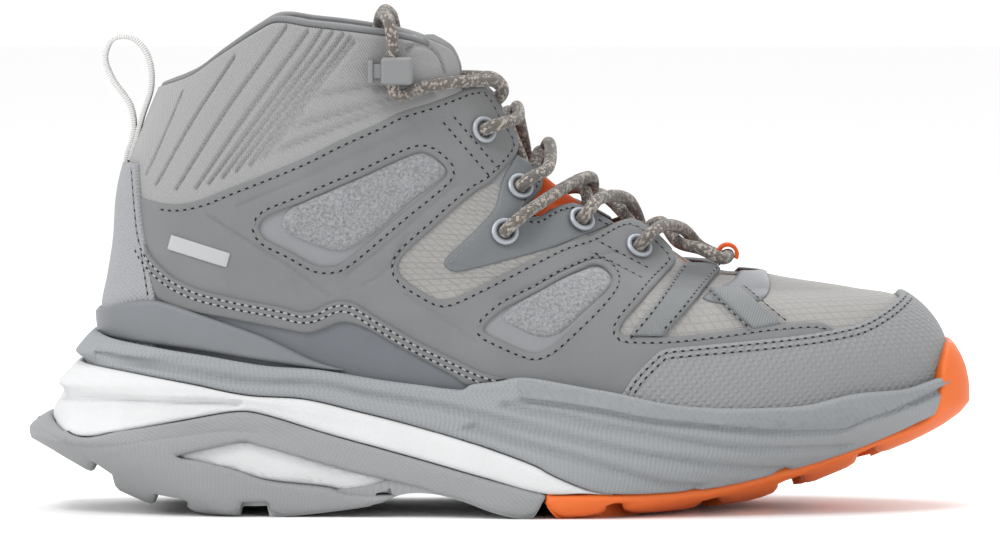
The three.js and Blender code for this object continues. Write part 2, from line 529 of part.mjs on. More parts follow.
function innerParts() {
  const liningOuter = (u, v) => LINING_DEPTH - COLLAR_PADDING * smooth((v - PADDING_START) / PADDING_SPAN);
  const liningInner = (u, v) => liningOuter(u, v) - LINING_THICKNESS;
  const foamInner = (u, v) => liningOuter(u, v) + GAP;
  const bindingInner = (u, v) => liningInner(u, v) - BINDING_INSIDE;
  const setBack = (solid) => solid.subtract(innerThroatCut).subtract(collarFrontCut);
  add("lining", setBack(layer([liningInner, liningOuter], LINING_FOOT)), LINING_CLOTH);
  add("collar_foam", setBack(layer([foamInner, FOAM_FACE], RISE_LEVELS[8], 0.955)), FOAM);
  add("collar_binding", setBack(layer([bindingInner, BINDING_OUTSIDE], EDGE_TOP + 0.006, 1)), NUBUCK);
  const stiffener = layer(STIFFENER_LAYER, LINING_FOOT);
  const counter = [[-FAR, 92], [-118, 90], [-80, 70], [-66, 30], [-FAR, 30]];
  const puff = [[104, -FAR], [112, FAR], [FAR, FAR], [FAR, -FAR]];
  add("heel_counter", stiffener.intersect(sideCut(counter)), BOARD);
  add("toe_puff", stiffener.intersect(sideCut(puff)), BOARD);
  add("lasting_board", stack(BOARD_FACES.map((lift) => bottomRing(0, BOARD_GROWTH, lift))), BOARD);
  add("footbed", stack([
    bottomRing(LINING_FOOT, -FOOTBED_INSET.foot, 0.6),
    bottomRing(LINING_FOOT, -FOOTBED_INSET.middle, FOOTBED_THICKNESS * 0.6),
    bottomRing(LINING_FOOT, -FOOTBED_INSET.top, FOOTBED_THICKNESS),
  ]), ORANGE_CLOTH);
}

// The padded tongue: full height between the eyestays, sunk under them at its sides for the lace.
function tongue() {
  const [across, rows] = [12, 12];
  const [vLow, vHigh] = [0.4, 0.985];
  const sideSink = (y) => 4 * smooth((Math.abs(y) - 2) / 10);
  const footSink = (v) => 1.6 * (1 - smooth((v - 0.46) / 0.12));
  const sink = (y, v) => TONGUE_TOP - sideSink(y) - footSink(v);
  const points = [];
  for (const depth of [7, 0]) {
    for (let j = 0; j <= rows; j += 1) {
      const v = vLow + ((vHigh - vLow) * j) / rows;
      for (let i = 0; i <= across; i += 1) {
        const reach = 0.07 + 0.045 * smooth((v - vLow) / 0.15) - 0.035 * smooth((v - 0.82) / 0.12);
        const spread = reach * (i / across - 0.5) * 2;
        const u = 0.5 - spread;
        const here = lastPoint(u, v);
        const edge = Math.abs(i / across - 0.5) * 2;
        const thin = depth * (1 - 0.55 * edge ** 4) * (0.45 + 0.55 * smooth((v - vLow) / 0.2));
        points.push(here.addScaledVector(lastNormal(u, v), sink(here.y, v) - thin));
      }
    }
  }
  const index = (side, j, i) => (side * (rows + 1) + j) * (across + 1) + i;
  const faces = [];
  const quad = (a, b, c, d) => faces.push([a, b, c], [a, c, d]);
  for (let j = 0; j < rows; j += 1) {
    for (let i = 0; i < across; i += 1) {
      quad(index(1, j, i), index(1, j + 1, i), index(1, j + 1, i + 1), index(1, j, i + 1));
      quad(index(0, j, i), index(0, j, i + 1), index(0, j + 1, i + 1), index(0, j + 1, i));
    }
    quad(index(0, j, 0), index(0, j + 1, 0), index(1, j + 1, 0), index(1, j, 0));
    quad(index(1, j, across), index(1, j + 1, across), index(0, j + 1, across), index(0, j, across));
  }
  for (let i = 0; i < across; i += 1) {
    quad(index(1, 0, i), index(1, 0, i + 1), index(0, 0, i + 1), index(0, 0, i));
    quad(index(0, rows, i), index(0, rows, i + 1), index(1, rows, i + 1), index(1, rows, i));
  }
  const solid = fromFaces(points, faces);
  const turned = () => fromFaces(points, faces.map(([a, b, c]) => [a, c, b]));
  add("tongue", solid.volume() > 0 ? solid : turned(), ORANGE_CLOTH);
}

// ---------------------------------------------------------------- the sole

// Plan of the sole at its widest: x, y of the outer side, y of the inner side.
const SOLE_PLAN = [
  [-157, 0, 0], [-150, -26, 26], [-140, -36, 36], [-120, -43, 43], [-95, -43.5, 42], [-60, -42.5, 40],
  [-30, -44, 39.5], [0, -47.5, 41], [30, -52, 46.5], [55, -53.5, 52], [80, -52, 53.5], [100, -47, 51],
  [120, -37, 45.5], [135, -25.5, 37.5], [148, -9, 25], [156.6, 7, 7],
];
const SOLE_LEVELS = [[-2, 0.92], [8, 0.985], [16, 1], [32, 0.975], [48, 0.93], [66, 0.86]]; // z, width factor

function soleEnvelope(factor = 1, pull = 0) {
  const half = (column) => SOLE_PLAN.map((row) => new THREE.Vector2(row[0], row[column]));
  const outer = new THREE.SplineCurve(half(1)).getPoints(24);
  const inner = new THREE.SplineCurve(half(2)).getPoints(24).reverse().slice(1, -1);
  const outline = [...outer, ...inner];
  const middle = 3;
  return stack(SOLE_LEVELS.map(([z, width]) => outline.map((p) => {
    const shrink = 1 - pull / 156;
    return new THREE.Vector3(p.x * shrink, middle + (p.y - middle) * width * factor, z);
  })));
}

function lastSolid() {
  const rings = [bottomRing(0, SOLE_CLEARANCE, -2.85)];
  for (const v of [FEATHER_LINE, ...RISE_LEVELS.filter((level) => level > 0.02 && level < 0.4)]) {
    rings.push(Array.from({ length: RING_STEPS }, (_, i) => offsetPoint(i / RING_STEPS, v, SOLE_CLEARANCE)));
  }
  return stack(rings);
}

function sole() {
  const envelope = soleEnvelope();
  const foot = lastSolid();
  const lowered = (points, drop) => points.map(([x, z]) => [x, z - drop]);
  const cupUnderside = [...FOREFOOT_TOP].reverse().concat([...CARRIER_TOP].reverse());
  const shankBox = (free) => box(
    [SHANK.back - free, -SHANK.half - free, 0],
    [SHANK.front + free, SHANK.half + free, SHANK.top],
  );
  const board = stack([bottomRing(0, 2, -4.9), bottomRing(0, 2, -2.5)]);
  const shankSpace = shankBox(SHANK_FREE).intersect(board);
  const cupSide = envelope.intersect(sideCut([...FOAM_CUP_TOP, ...cupUnderside]));
  add("midsole_upper", cupSide.subtract(foot).subtract(shankSpace), GREY_FOAM);

  const plate = stack(SHANK.faces.map((lift) => bottomRing(0, 1, lift)));
  add("shank", plate.intersect(shankBox(0)), STEEL);

  const tread = [...HEEL_OUTSOLE_TOP, ...FRONT_BRIDGE, ...HEEL_WINDOW, ...HEEL_TREAD];
  const core = soleEnvelope(0.9, 6).intersect(sideCut(CARRIER_CORE));
  const coreSpace = soleEnvelope(0.915, 5).intersect(sideCut(CORE_SPACE));
  let heel = envelope.intersect(sideCut(tread)).subtract(coreSpace);
  for (const groove of HEEL_GROOVES) heel = heel.subtract(sideCut(groove));
  add("outsole_heel", heel, RUBBER);

  const carrierSide = [
    ...lowered(CARRIER_TOP, GAP), [28, 9.1], [14.4, 8.2],
    ...lowered(HEEL_OUTSOLE_TOP, -GAP).reverse().slice(1, -1), [-149.2, 32.9], [-144.3, 41], [-147, 42.7],
  ];
  const filling = soleEnvelope(0.985, 2).intersect(sideCut(ARCH_FILLING)).subtract(soleEnvelope(0.8, 20));
  const carrier = envelope.intersect(sideCut(carrierSide)).add(core);
  add("midsole_carrier", carrier.add(filling).subtract(foot), WHITE_FOAM);

  const forefoot = [[15.1, 7.7], ...lowered(FOREFOOT_TOP, GAP), [146.7, 40], ...BUMPER, ...FOREFOOT_TREAD];
  add("outsole_forefoot", envelope.intersect(sideCut(forefoot)).subtract(foot), ORANGE_RUBBER);
}

// ---------------------------------------------------------------- pull tab

function pullTab() {
  const middle = [[-124.2, 117.6], [-121.9, 126], [-123, 134], [-129, 143], [-131.4, 150], [-129, 156],
    [-123.5, 157], [-118.8, 153.5], [-116.3, 147.5], [-116.1, 140], [-118.9, 131]];
  const places = middle.map(([x, z]) => new THREE.Vector3(x, 0, z));
  const curve = new THREE.CatmullRomCurve3(places, true, "centripetal");
  const [steps, half, seam] = [28, 0.62, 5];
  const edge = (amount, from, to) => Array.from({ length: to - from }, (_, i) => {
    const tangent = curve.getTangent((from + i) / steps);
    const point = curve.getPoint((from + i) / steps);
    return new THREE.Vector2(point.x - tangent.z * amount, point.z + tangent.x * amount);
  });
  const shape = new THREE.Shape(edge(half, 0, steps));
  shape.holes.push(new THREE.Path(edge(-half, seam, steps - seam + 2).reverse()));
  const width = 10;
  const geometry = new THREE.ExtrudeGeometry(shape, { depth: width, bevelEnabled: false });
  geometry.rotateX(Math.PI / 2).translate(0, width / 2, 0);
  add("pull_tab", toSolid(geometry), LIGHT_WEBBING);
}

// ---------------------------------------------------------------- lacing

const vector = (x, y, z) => new THREE.Vector3(x, y, z);

// Where the two runs of each row cross over the tongue, as a distance along the instep.
const CROSSINGS = [0.905, 0.815, 0.73, 0.665, 0.575];
const LOWER_RUN = -1.2;
const UPPER_RUN = 3.3;
// Where the runs pass over and under the front edge of the eyestay: x, z.
const OVER_EDGE = [[2, 128], [13, 111.2], [9.5, 99.2], [31, 100.3], [52, 90.6]];
const UNDER_EDGE = [null, [11.3, 112.3], [7.5, 98.8], [30.6, 100], [49.5, 91.6]];

const crossing = (i, over) => offsetPoint(0.5, CROSSINGS[i], over ? UPPER_RUN : LOWER_RUN);

// Through the eyelet from under the eyestay, then over its edge to the row's crossing.
function rowStart(i, side, over) {
  const [x, z] = EYELET_PLACES[i];
  const hole = [-3, 0.2, 3.5].map((offset) => onUpper(x, z, side, offset));
  const edge = onUpper(...OVER_EDGE[i], side, 4.9);
  const outward = normalOnUpper(x, z, side);
  const along = edge.clone().sub(hole[2]).projectOnPlane(outward).setLength(2.5);
  const bend = hole[2].clone().add(along).addScaledVector(outward, 2.2);
  return [...hole, bend, edge, crossing(i, over)];
}

// From the crossing down under the other side's next eyelet.
function rowEnd(i, side) {
  const [x, z] = EYELET_PLACES[i + 1];
  const edge = onUpper(...UNDER_EDGE[i + 1], side, -4.6);
  const below = onUpper(x, z, side, -4.9);
  return [edge, edge.clone().lerp(below, 0.72)];
}

function laceRoute(startSide) {
  const route = [];
  let side = startSide;
  const over = startSide === LATERAL;
  for (let i = 0; i < EYELET_PLACES.length; i += 1) {
    const above = over === (i % 2 === 0);
    route.push(...rowStart(i, side, above));
    side = -side;
    if (i < EYELET_PLACES.length - 1) route.push(...rowEnd(i, side));
  }
  return [route, side];
}

function lacing() {
  const [outerStart, endA] = laceRoute(LATERAL);
  const [innerStart] = laceRoute(MEDIAL);
  const turn = (side) => [vector(67, side * 9.5, 86.6), vector(73.4, side * 9.6, 83.6)];
  const bottom = [...turn(endA), vector(76, 0, 84.2), ...turn(-endA).reverse()];
  const route = [...outerStart, ...bottom, ...innerStart.reverse()];
  add("lace", tube(route, LACE_RADIUS, LACE_SIDES, 140), LACE);
}

// The cord lock sits on the outer lace end, above the front of the quarter. Its button slides along X.
const LOCK_CENTRE = vector(-34.2, onUpper(-34.5, 147, LATERAL, 0).y - 6.4, 146.6);
const LOCK_BORE_X = -35.3;
const LOCK_BODY = { left: -39.2, right: -28.6, half: 4.6, top: 151.2, bottom: 142.1 };
const BUTTON = { left: -41.6, right: -32.2, wide: 3.1, tall: 2.3, plate: -43.4 };
const LOCK_FREE = 0.3;

function cordLock() {
  const { left, right, half, top, bottom } = LOCK_BODY;
  const [y, z] = [LOCK_CENTRE.y, LOCK_CENTRE.z];
  const up = vector(0, 1, 0).applyAxisAngle(vector(1, 0, 0), Math.PI / 2);
  const bore = cylinder(LACE_RADIUS + 0.4, 20, 12, vector(LOCK_BORE_X, y, z), up);
  const pocket = box(
    [left - 1, y - BUTTON.wide - LOCK_FREE, z - BUTTON.tall - LOCK_FREE],
    [right - 1.1, y + BUTTON.wide + LOCK_FREE, z + BUTTON.tall + LOCK_FREE],
  );
  const body = box([left, y - half, bottom], [right, y + half, top]).subtract(bore).subtract(pocket);
  add("lock_body", body, LOCK);
  const plunger = box(
    [BUTTON.left, y - BUTTON.wide, z - BUTTON.tall],
    [BUTTON.right, y + BUTTON.wide, z + BUTTON.tall],
  );
  const plate = box([BUTTON.plate, y - half + 0.4, z - 4], [BUTTON.left + 0.1, y + half - 0.4, z + 3.6]);
  const slot = box([-39.9, y - 2.4, z - 5], [-32.95, y + 2.4, z + 5]);
  add("lock_button", plunger.subtract(slot).add(plate), LOCK);
  const [turns, coil, perTurn] = [3.5, 1.5, 9];
  const start = BUTTON.right + 0.35;
  const pitch = (right - 1.45 - 0.5 - start) / turns;
  const points = Array.from({ length: turns * perTurn }, (_, i) => {
    const angle = (2 * Math.PI * i) / perTurn;
    return vector(start + 0.25 + (pitch * i) / perTurn, y + coil * Math.cos(angle), z + coil * Math.sin(angle));
  });
  add("lock_spring", tube(points, 0.2, 5, points.length), STEEL);
}

// The lace's two ends leave from under the top eyelets, go over the collar and hang inside the boot.
const END_RADIUS = LACE_RADIUS;
const AGLET_LENGTH = 16;

function endRoute(side) {
  const across = (x, reach, z) => vector(x, side * reach, z);
  const start = onUpper(-4.6, 128.4, side, -5.4);
  const front = [onUpper(-3.4, 133, side, -5.8), across(1, 12.6, 138.6), across(-1.8, 17, 142.6)];
  const edge = [[-8, 142.4], [-14, 142.6], [-20, 141.9], [-26, 141]];
  const along = edge.map(([x, z]) => onUpper(x, z, side, 2.5));
  const y = Math.abs(LOCK_CENTRE.y);
  const lift = [across(-33.8, y - 0.4, 138.4), across(LOCK_BORE_X, y, 141.8), across(LOCK_BORE_X, y, 147.5),
    across(LOCK_BORE_X, y, 152), across(LOCK_BORE_X, y, 157)];
  const over = [across(-36.3, 38.4, 162.4), across(-37.5, 33, 164.4), across(-39, 25, 165),
    across(-40, 18.8, 161.5), across(-41, 18, 154), across(-42, 17.6, 140), across(-43, 17.4, 122),
    across(-44, 17.2, 104)];
  return [start, ...front, ...along, ...lift, ...over];
}

function laceEnds() {
  for (const side of [LATERAL, MEDIAL]) {
    const route = endRoute(side);
    add(`lace_end_${sideName(side)}`, tube(route, END_RADIUS, LACE_SIDES, 36), LACE);
    const last = route[route.length - 1];
    const centre = vector(last.x, last.y, last.z - AGLET_LENGTH / 2 - 0.3);
    const aglet = cylinder(END_RADIUS + 0.35, AGLET_LENGTH, 10, centre, vector(0, 0, 1));
    add(`aglet_${sideName(side)}`, aglet, TPU);
  }
}

// The cloth loop that ties the lowest lace row to the throat patch.
function loopTag() {
  const [inner, outer, width] = [LACE_RADIUS + 0.65, LACE_RADIUS + 1.4, 7];
  const [x, z] = [75.8, 84.6];
  const shape = new THREE.Shape();
  shape.absarc(0, 0, outer, -0.5, Math.PI + 0.9, false);
  shape.absarc(0, 0, inner, Math.PI + 0.9, -0.5, true);
  const geometry = new THREE.ExtrudeGeometry(shape, { depth: width, curveSegments: 8, bevelEnabled: false });
  geometry.rotateX(Math.PI / 2).translate(x, width / 2, z);
  add("lace_loop_tag", toSolid(geometry), ORANGE_CLOTH);
}

// ---------------------------------------------------------------- the order of assembly

sole();
baseLayer();
innerParts();
quarters();
eyestays();
topOverlays();
tongue();
pullTab();
lacing();
cordLock();
laceEnds();
loopTag();

export default boot;
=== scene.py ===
"""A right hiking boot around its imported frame: +X to the toe, +Y to the inner side, +Z up.

Shapes are worked out in millimetres and turned into metres when a mesh is made. The upper's layers are
offsets of one surface, the form of the last, and the sole's side is an offset of a second one.
"""
import math

import bmesh
import bpy
import numpy as np
from mathutils import Matrix, Vector, kdtree
from mathutils.geometry import delaunay_2d_cdt


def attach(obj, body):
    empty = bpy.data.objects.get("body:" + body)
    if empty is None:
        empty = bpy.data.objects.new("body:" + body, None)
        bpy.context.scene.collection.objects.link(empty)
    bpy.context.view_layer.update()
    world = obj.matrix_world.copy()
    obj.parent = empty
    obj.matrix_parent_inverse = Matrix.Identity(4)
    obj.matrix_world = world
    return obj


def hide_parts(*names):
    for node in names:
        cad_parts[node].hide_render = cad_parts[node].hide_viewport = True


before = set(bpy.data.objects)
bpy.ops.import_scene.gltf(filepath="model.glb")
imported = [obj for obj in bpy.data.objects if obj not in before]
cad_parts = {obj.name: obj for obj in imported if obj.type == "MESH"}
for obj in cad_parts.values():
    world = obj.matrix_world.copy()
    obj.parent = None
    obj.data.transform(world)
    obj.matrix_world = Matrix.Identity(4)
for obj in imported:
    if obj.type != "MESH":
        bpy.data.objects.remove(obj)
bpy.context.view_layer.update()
MM = 0.001
LATERAL, MEDIAL = -1, 1
SIDES = {LATERAL: "lateral", MEDIAL: "medial"}

# ------------------------------------------------------------------ camera, light and floor

VIEW_WIDTH = 333.3
LENS = 300
AIM = Vector((0, 0, 0.0797))
ELEVATION = math.radians(3)
WORLD_LIGHT = 1.04
PALER = 0.62  # paint colours are this much darker than they look in the studio's light


def add_camera():
    data = bpy.data.cameras.new("camera")
    data.lens = LENS
    data.sensor_width = 36
    distance = VIEW_WIDTH * MM * LENS / data.sensor_width
    camera = bpy.data.objects.new("camera", data)
    camera.location = AIM + Vector((0, -math.cos(ELEVATION), math.sin(ELEVATION))) * distance
    camera.rotation_euler = (math.pi / 2 - ELEVATION, 0, 0)
    bpy.context.collection.objects.link(camera)
    bpy.context.scene.camera = camera


def add_area(name, place, target, size, power):
    data = bpy.data.lights.new(name, "AREA")
    data.shape = "DISK"
    data.size = size
    data.energy = power
    light = bpy.data.objects.new(name, data)
    light.location = place
    light.rotation_euler = (Vector(target) - Vector(place)).to_track_quat("-Z", "Y").to_euler()
    bpy.context.collection.objects.link(light)


def add_studio():
    add_area("key", (-0.7, -1.0, 1.6), (0, 0, 0.06), 0.6, 13)
    add_area("left", (-1.5, -0.7, 0.7), (-0.05, 0, 0.07), 0.7, 7)
    add_area("fill", (1.2, -1.5, 0.6), (0, 0, 0.06), 1.2, 3)
    add_area("top", (0.2, 0.2, 1.6), (0, 0, 0.05), 0.9, 9)
    add_area("rim", (0.6, 1.4, 0.9), (0, 0, 0.08), 0.9, 5)
    world = bpy.data.worlds.new("studio")
    world.use_nodes = True
    world.node_tree.nodes["Background"].inputs[0].default_value = (1, 1, 1, 1)
    world.node_tree.nodes["Background"].inputs[1].default_value = WORLD_LIGHT
    bpy.context.scene.world = world
    bpy.context.scene.view_settings.view_transform = "Standard"
    size = 6
    mesh = bpy.data.meshes.new("floor")
    corners = [(-size, -size, 0), (size, -size, 0), (size, size, 0), (-size, size, 0)]
    mesh.from_pydata(corners, [], [(0, 1, 2, 3)])
    floor = bpy.data.objects.new("floor", mesh)
    bpy.context.collection.objects.link(floor)
    material = bpy.data.materials.new("floor")
    material.use_nodes = True
    shader = material.node_tree.nodes["Principled BSDF"]
    shader.inputs["Base Color"].default_value = (0.93, 0.93, 0.93, 1)
    shader.inputs["Roughness"].default_value = 0.9
    mesh.materials.append(material)


# ------------------------------------------------------------------ the form of the last

BACK_PROFILE = [
    [0, -126, 48], [0.1, -129, 58], [0.2, -130, 68], [0.3, -128.3, 77], [0.45, -126.3, 90],
    [0.6, -125.3, 104], [0.75, -122.5, 116], [0.87, -117, 130], [1, -111.8, 142.8],
]
FRONT_PROFILE = [
    [0, 145, 34], [0.1, 146.5, 55], [0.2, 135.5, 69], [0.3, 118, 73], [0.45, 85, 79],
    [0.6, 55, 92], [0.75, 25, 109.5], [0.87, 6, 127], [1, -3, 142],
]
WIDTH_STATIONS = [0, 0.1, 0.3, 0.5, 0.7, 0.85, 1]
HALF_WIDTHS = [
    [0, 40, 41, 36, 39, 48.5, 48.5, 38],
    [0.12, 42, 42.5, 36, 38, 46.5, 46, 38],
    [0.3, 44, 44, 35, 34, 35.8, 27, 22],
    [0.6, 42, 41, 36, 34, 33, 30, 22],
    [0.8, 39, 38, 35, 34, 33, 32, 26],
    [1, 32, 33, 34, 35, 35, 34, 33],
]
CENTRE_SHIFT = [[0, 0], [0.3, -1.5], [0.5, -3.5], [0.7, -1], [0.85, 3], [1, 7]]
COLLAR_RISE = [
    [0, 0], [0.1, 4.5], [0.18, 11], [0.29, 19.3], [0.35, 22.6], [0.45, 21.3], [0.6, 19.5], [0.75, 17],
    [0.85, 13], [0.93, 7], [1, 0],
]
COLLAR_RISE_START = 0.72
ARCH_DROP = 13
ARCH_DROP_END = 0.3
ARCH_DROP_AT = 0.64
ARCH_DROP_SPREAD = 0.36


def smooth(t):
    t = np.clip(t, 0, 1)
    return t * t * (3 - 2 * t)


def hermite(w, span, start, end, slope_in, slope_out):
    return (
        (2 * w**3 - 3 * w**2 + 1) * start + (w**3 - 2 * w**2 + w) * span * slope_in
        + (3 * w**2 - 2 * w**3) * end + (w**3 - w**2) * span * slope_out
    )


def along_each(stations, values, t):
    """Smooth curve through values[:, k] at stations[k], one row of values for each t."""
    stations = np.asarray(stations, float)
    n = len(stations)
    i = np.clip(np.searchsorted(stations, t, side="left") - 1, 0, n - 2)
    row = np.arange(len(t))
    before, after = np.maximum(i - 1, 0), np.minimum(i + 2, n - 1)
    span = stations[i + 1] - stations[i]
    w = np.clip((t - stations[i]) / span, 0, 1)
    start, end = values[row, i], values[row, i + 1]
    slope_in = (end - values[row, before]) / (stations[i + 1] - stations[before])
    slope_out = (values[row, after] - start) / (stations[after] - stations[i])
    return hermite(w, span, start, end, slope_in, slope_out)


def along(rows, t):
    """Smooth curve through rows of [t, value, value...]: an array of the values at each t."""
    rows = np.asarray(rows, float)
    t = np.atleast_1d(np.asarray(t, float))
    columns = [
        along_each(rows[:, 0], np.broadcast_to(rows[:, k], (len(t), len(rows))), t)
        for k in range(1, rows.shape[1])
    ]
    return np.stack(columns, axis=1)


def last_point(u, v):
    """u runs from the heel round the outer side to the toe (0.5) and back; v is the rise."""
    u, v = np.broadcast_arrays(np.asarray(u, float), np.clip(np.asarray(v, float), 0, 1))
    u, v = np.atleast_1d(u), np.atleast_1d(v)
    angle = 2 * np.pi * u
    s = (1 - np.cos(angle)) / 2
    back, front = along(BACK_PROFILE, v), along(FRONT_PROFILE, v)
    width = along_each(WIDTH_STATIONS, along(HALF_WIDTHS, v), s)
    roundness = 0.5 + 0.25 * np.clip(v / 0.6, 0, 1)
    across = np.sign(np.sin(angle)) * np.abs(np.sin(angle)) ** roundness
    shift = along(CENTRE_SHIFT, s)[:, 0]
    arch = ARCH_DROP * np.exp(-(((s - ARCH_DROP_AT) / ARCH_DROP_SPREAD) ** 2) * 2) * s * (1 - s) * 4
    rise = along(COLLAR_RISE, s)[:, 0] * smooth((v - COLLAR_RISE_START) / (1 - COLLAR_RISE_START))
    flat = back + (front - back) * s[:, None]
    z = flat[:, 1] - arch * (1 - smooth(v / ARCH_DROP_END)) + rise
    return np.stack([flat[:, 0], -width * across + shift * (1 - v), z], axis=1)


# ------------------------------------------------------------------ the form of the sole's side

# Back and front of the sole at each height: z, x of the back, x of the front.
SOLE_PROFILE = [
    [-1, -98, 52], [0.2, -103, 62], [2.2, -115.3, 80], [7.3, -126.8, 100], [12.7, -135.1, 113],
    [18.4, -145, 126.5], [22.6, -152, 137], [24.5, -155.6, 141], [26.6, -156.2, 145], [28.3, -156, 148],
    [31.5, -150.5, 152.5], [32.8, -149.2, 154], [35.9, -148, 156.4], [41, -144.6, 156.3],
    [42.7, -146.8, 156.1], [47, -142.4, 155.2], [50.7, -138.6, 153.7], [53.2, -141.3, 152.3],
    [56.5, -138.6, 150], [60.7, -134.5, 146], [66, -133.5, 143], [72, -133, 140],
]
SOLE_STATIONS = [0, 0.05, 0.12, 0.2, 0.3, 0.4, 0.5, 0.6, 0.69, 0.76, 0.82, 0.88, 0.93, 1]
OUTER_WIDTHS = [52, 52, 52.5, 48.5, 46, 46, 48.7, 53, 55.5, 56, 54.5, 50.8, 45.5, 38]
INNER_WIDTHS = [52, 52, 52.5, 48, 42.5, 40.5, 42, 47.5, 54.3, 56, 55, 50.2, 44.5, 38]
TOE_SHIFT = [[0, 0], [0.6, 0], [0.69, 0.5], [0.76, 1.5], [0.82, 2.5], [0.88, 4], [0.93, 5.5], [1, 7]]
SOLE_SQUARENESS = 0.45
SOLE_NARROWING = [[-2, 0.93], [3, 0.965], [8, 0.985], [16, 1], [32, 0.975], [48, 0.94], [66, 0.88]]


def sole_ends(z):
    rows = np.asarray(SOLE_PROFILE)
    return np.interp(z, rows[:, 0], rows[:, 1]), np.interp(z, rows[:, 0], rows[:, 2])


def sole_point(u, z):
    u, z = np.broadcast_arrays(np.asarray(u, float), np.asarray(z, float))
    u, z = np.atleast_1d(u), np.atleast_1d(z)
    angle = 2 * np.pi * u
    s = (1 - np.cos(angle)) / 2
    back, front = sole_ends(z)
    outer, inner = (
        along_each(SOLE_STATIONS, np.broadcast_to(np.array(widths, float), (len(u), len(widths))), s)
        for widths in (OUTER_WIDTHS, INNER_WIDTHS)
    )
    width = np.where(np.sin(angle) > 0, outer, inner) * along(SOLE_NARROWING, z)[:, 0]
    across = np.sign(np.sin(angle)) * np.abs(np.sin(angle)) ** SOLE_SQUARENESS
    x = back + (front - back) * s
    return np.stack([x, -width * across + along(TOE_SHIFT, s)[:, 0], z], axis=1)


# ------------------------------------------------------------------ surfaces and side views


class Surface:
    """A surface with a place for each (a, b), and the (a, b) of a place in the side view."""

    def __init__(self, point, size, b_range):
        self.point = point
        self.size = np.array(size, float)  # mm for one unit of a and of b
        self.b_range = b_range
        a = np.linspace(0.004, 0.496, 240)
        b = np.linspace(*b_range, 160)
        self.grid = np.stack(np.meshgrid(a, b), axis=-1).reshape(-1, 2)
        seen = self.point(self.grid[:, 0], self.grid[:, 1])
        self.tree = kdtree.KDTree(len(seen))
        for i, p in enumerate(seen):
            self.tree.insert((p[0], p[2], 0), i)
        self.tree.balance()

    def normal(self, a, b):
        step = np.array([0.002, 0.004 * (self.b_range[1] - self.b_range[0])])
        low = np.clip(b - step[1], *self.b_range)
        high = np.clip(b + step[1], *self.b_range)
        round_ = self.point(a + step[0], b) - self.point(a - step[0], b)
        up = self.point(a, high) - self.point(a, low)
        n = np.cross(round_, up)
        return n / np.maximum(np.linalg.norm(n, axis=1, keepdims=True), 1e-9)

    def seek(self, places, side=LATERAL, about=0.5):
        """(a, b) of side view places. The medial side mirrors about a = 0.5, or about 0 at the heel."""
        places = np.asarray(places, float)
        ab = np.array([self.grid[self.tree.find((x, z, 0))[1]] for x, z in places])
        for _ in range(6):
            here = self.point(ab[:, 0], ab[:, 1])
            h = 1e-4
            da = (self.point(ab[:, 0] + h, ab[:, 1]) - here) / h
            db = (self.point(ab[:, 0], ab[:, 1] + h) - here) / h
            det = da[:, 0] * db[:, 2] - db[:, 0] * da[:, 2]
            det = np.where(np.abs(det) < 1e-3, 1e-3, det)
            ex, ez = places[:, 0] - here[:, 0], places[:, 1] - here[:, 2]
            move = np.stack([ex * db[:, 2] - db[:, 0] * ez, da[:, 0] * ez - ex * da[:, 2]], axis=1)
            limit = 4 / self.size
            ab = ab + np.clip(move / det[:, None], -limit, limit)
            ab[:, 0] = np.clip(ab[:, 0], 0.0005, 0.4995)
            ab[:, 1] = np.clip(ab[:, 1], *self.b_range)
        return self.flip(ab, about) if side == MEDIAL else ab

    @staticmethod
    def flip(ab, about):
        return np.stack([2 * about - ab[:, 0], ab[:, 1]], axis=1)

    def at(self, ab, offset):
        offset = np.broadcast_to(offset, (len(ab),))
        return self.point(ab[:, 0], ab[:, 1]) + self.normal(ab[:, 0], ab[:, 1]) * offset[:, None]


LAST = Surface(last_point, (600, 150), (0, 1))
SOLE = Surface(sole_point, (640, 1), (-1, 72))


def spline(points, step=1.0, closed=False):
    """Centripetal Catmull-Rom curve through the points, in even steps."""
    points = np.asarray(points, float)
    n = len(points)
    if closed:
        ext = np.vstack([points[-1:], points, points[:2]])
        spans = n
    else:
        ext = np.vstack([2 * points[0] - points[1], points, 2 * points[-1] - points[-2]])
        spans = n - 1
    out = []
    for i in range(spans):
        p0, p1, p2, p3 = ext[i:i + 4]
        t1 = max(np.linalg.norm(p1 - p0), 1e-6) ** 0.5
        t2 = t1 + max(np.linalg.norm(p2 - p1), 1e-6) ** 0.5
        t3 = t2 + max(np.linalg.norm(p3 - p2), 1e-6) ** 0.5
        count = max(2, int(np.linalg.norm(p2 - p1) / step * 2))
        t = np.linspace(t1, t2, count, endpoint=False)[:, None]
        a1 = (t1 - t) / t1 * p0 + t / t1 * p1
        a2 = (t2 - t) / (t2 - t1) * p1 + (t - t1) / (t2 - t1) * p2
        a3 = (t3 - t) / (t3 - t2) * p2 + (t - t2) / (t3 - t2) * p3
        b1 = (t2 - t) / t2 * a1 + t / t2 * a2
        b2 = (t3 - t) / (t3 - t1) * a2 + (t - t1) / (t3 - t1) * a3
        out.append((t2 - t) / (t2 - t1) * b1 + (t - t1) / (t2 - t1) * b2)
    out.append((points[:1] if closed else points[-1:]))
    return resample(np.vstack(out), step, closed)


def resample(line, step, closed=False):
    length = np.concatenate([[0], np.cumsum(np.linalg.norm(np.diff(line, axis=0), axis=1))])
    count = max(2, int(round(length[-1] / step)))
    t = np.linspace(0, length[-1], count + 1)
    if closed:
        t = t[:-1]
    return np.stack([np.interp(t, length, line[:, k]) for k in range(line.shape[1])], axis=1)


def shifted(line, distance):
    """The open curve moved to its left by a distance."""
    tangent = np.gradient(line, axis=0)
    tangent /= np.maximum(np.linalg.norm(tangent, axis=1, keepdims=True), 1e-9)
    return line + np.stack([-tangent[:, 1], tangent[:, 0]], axis=1) * distance


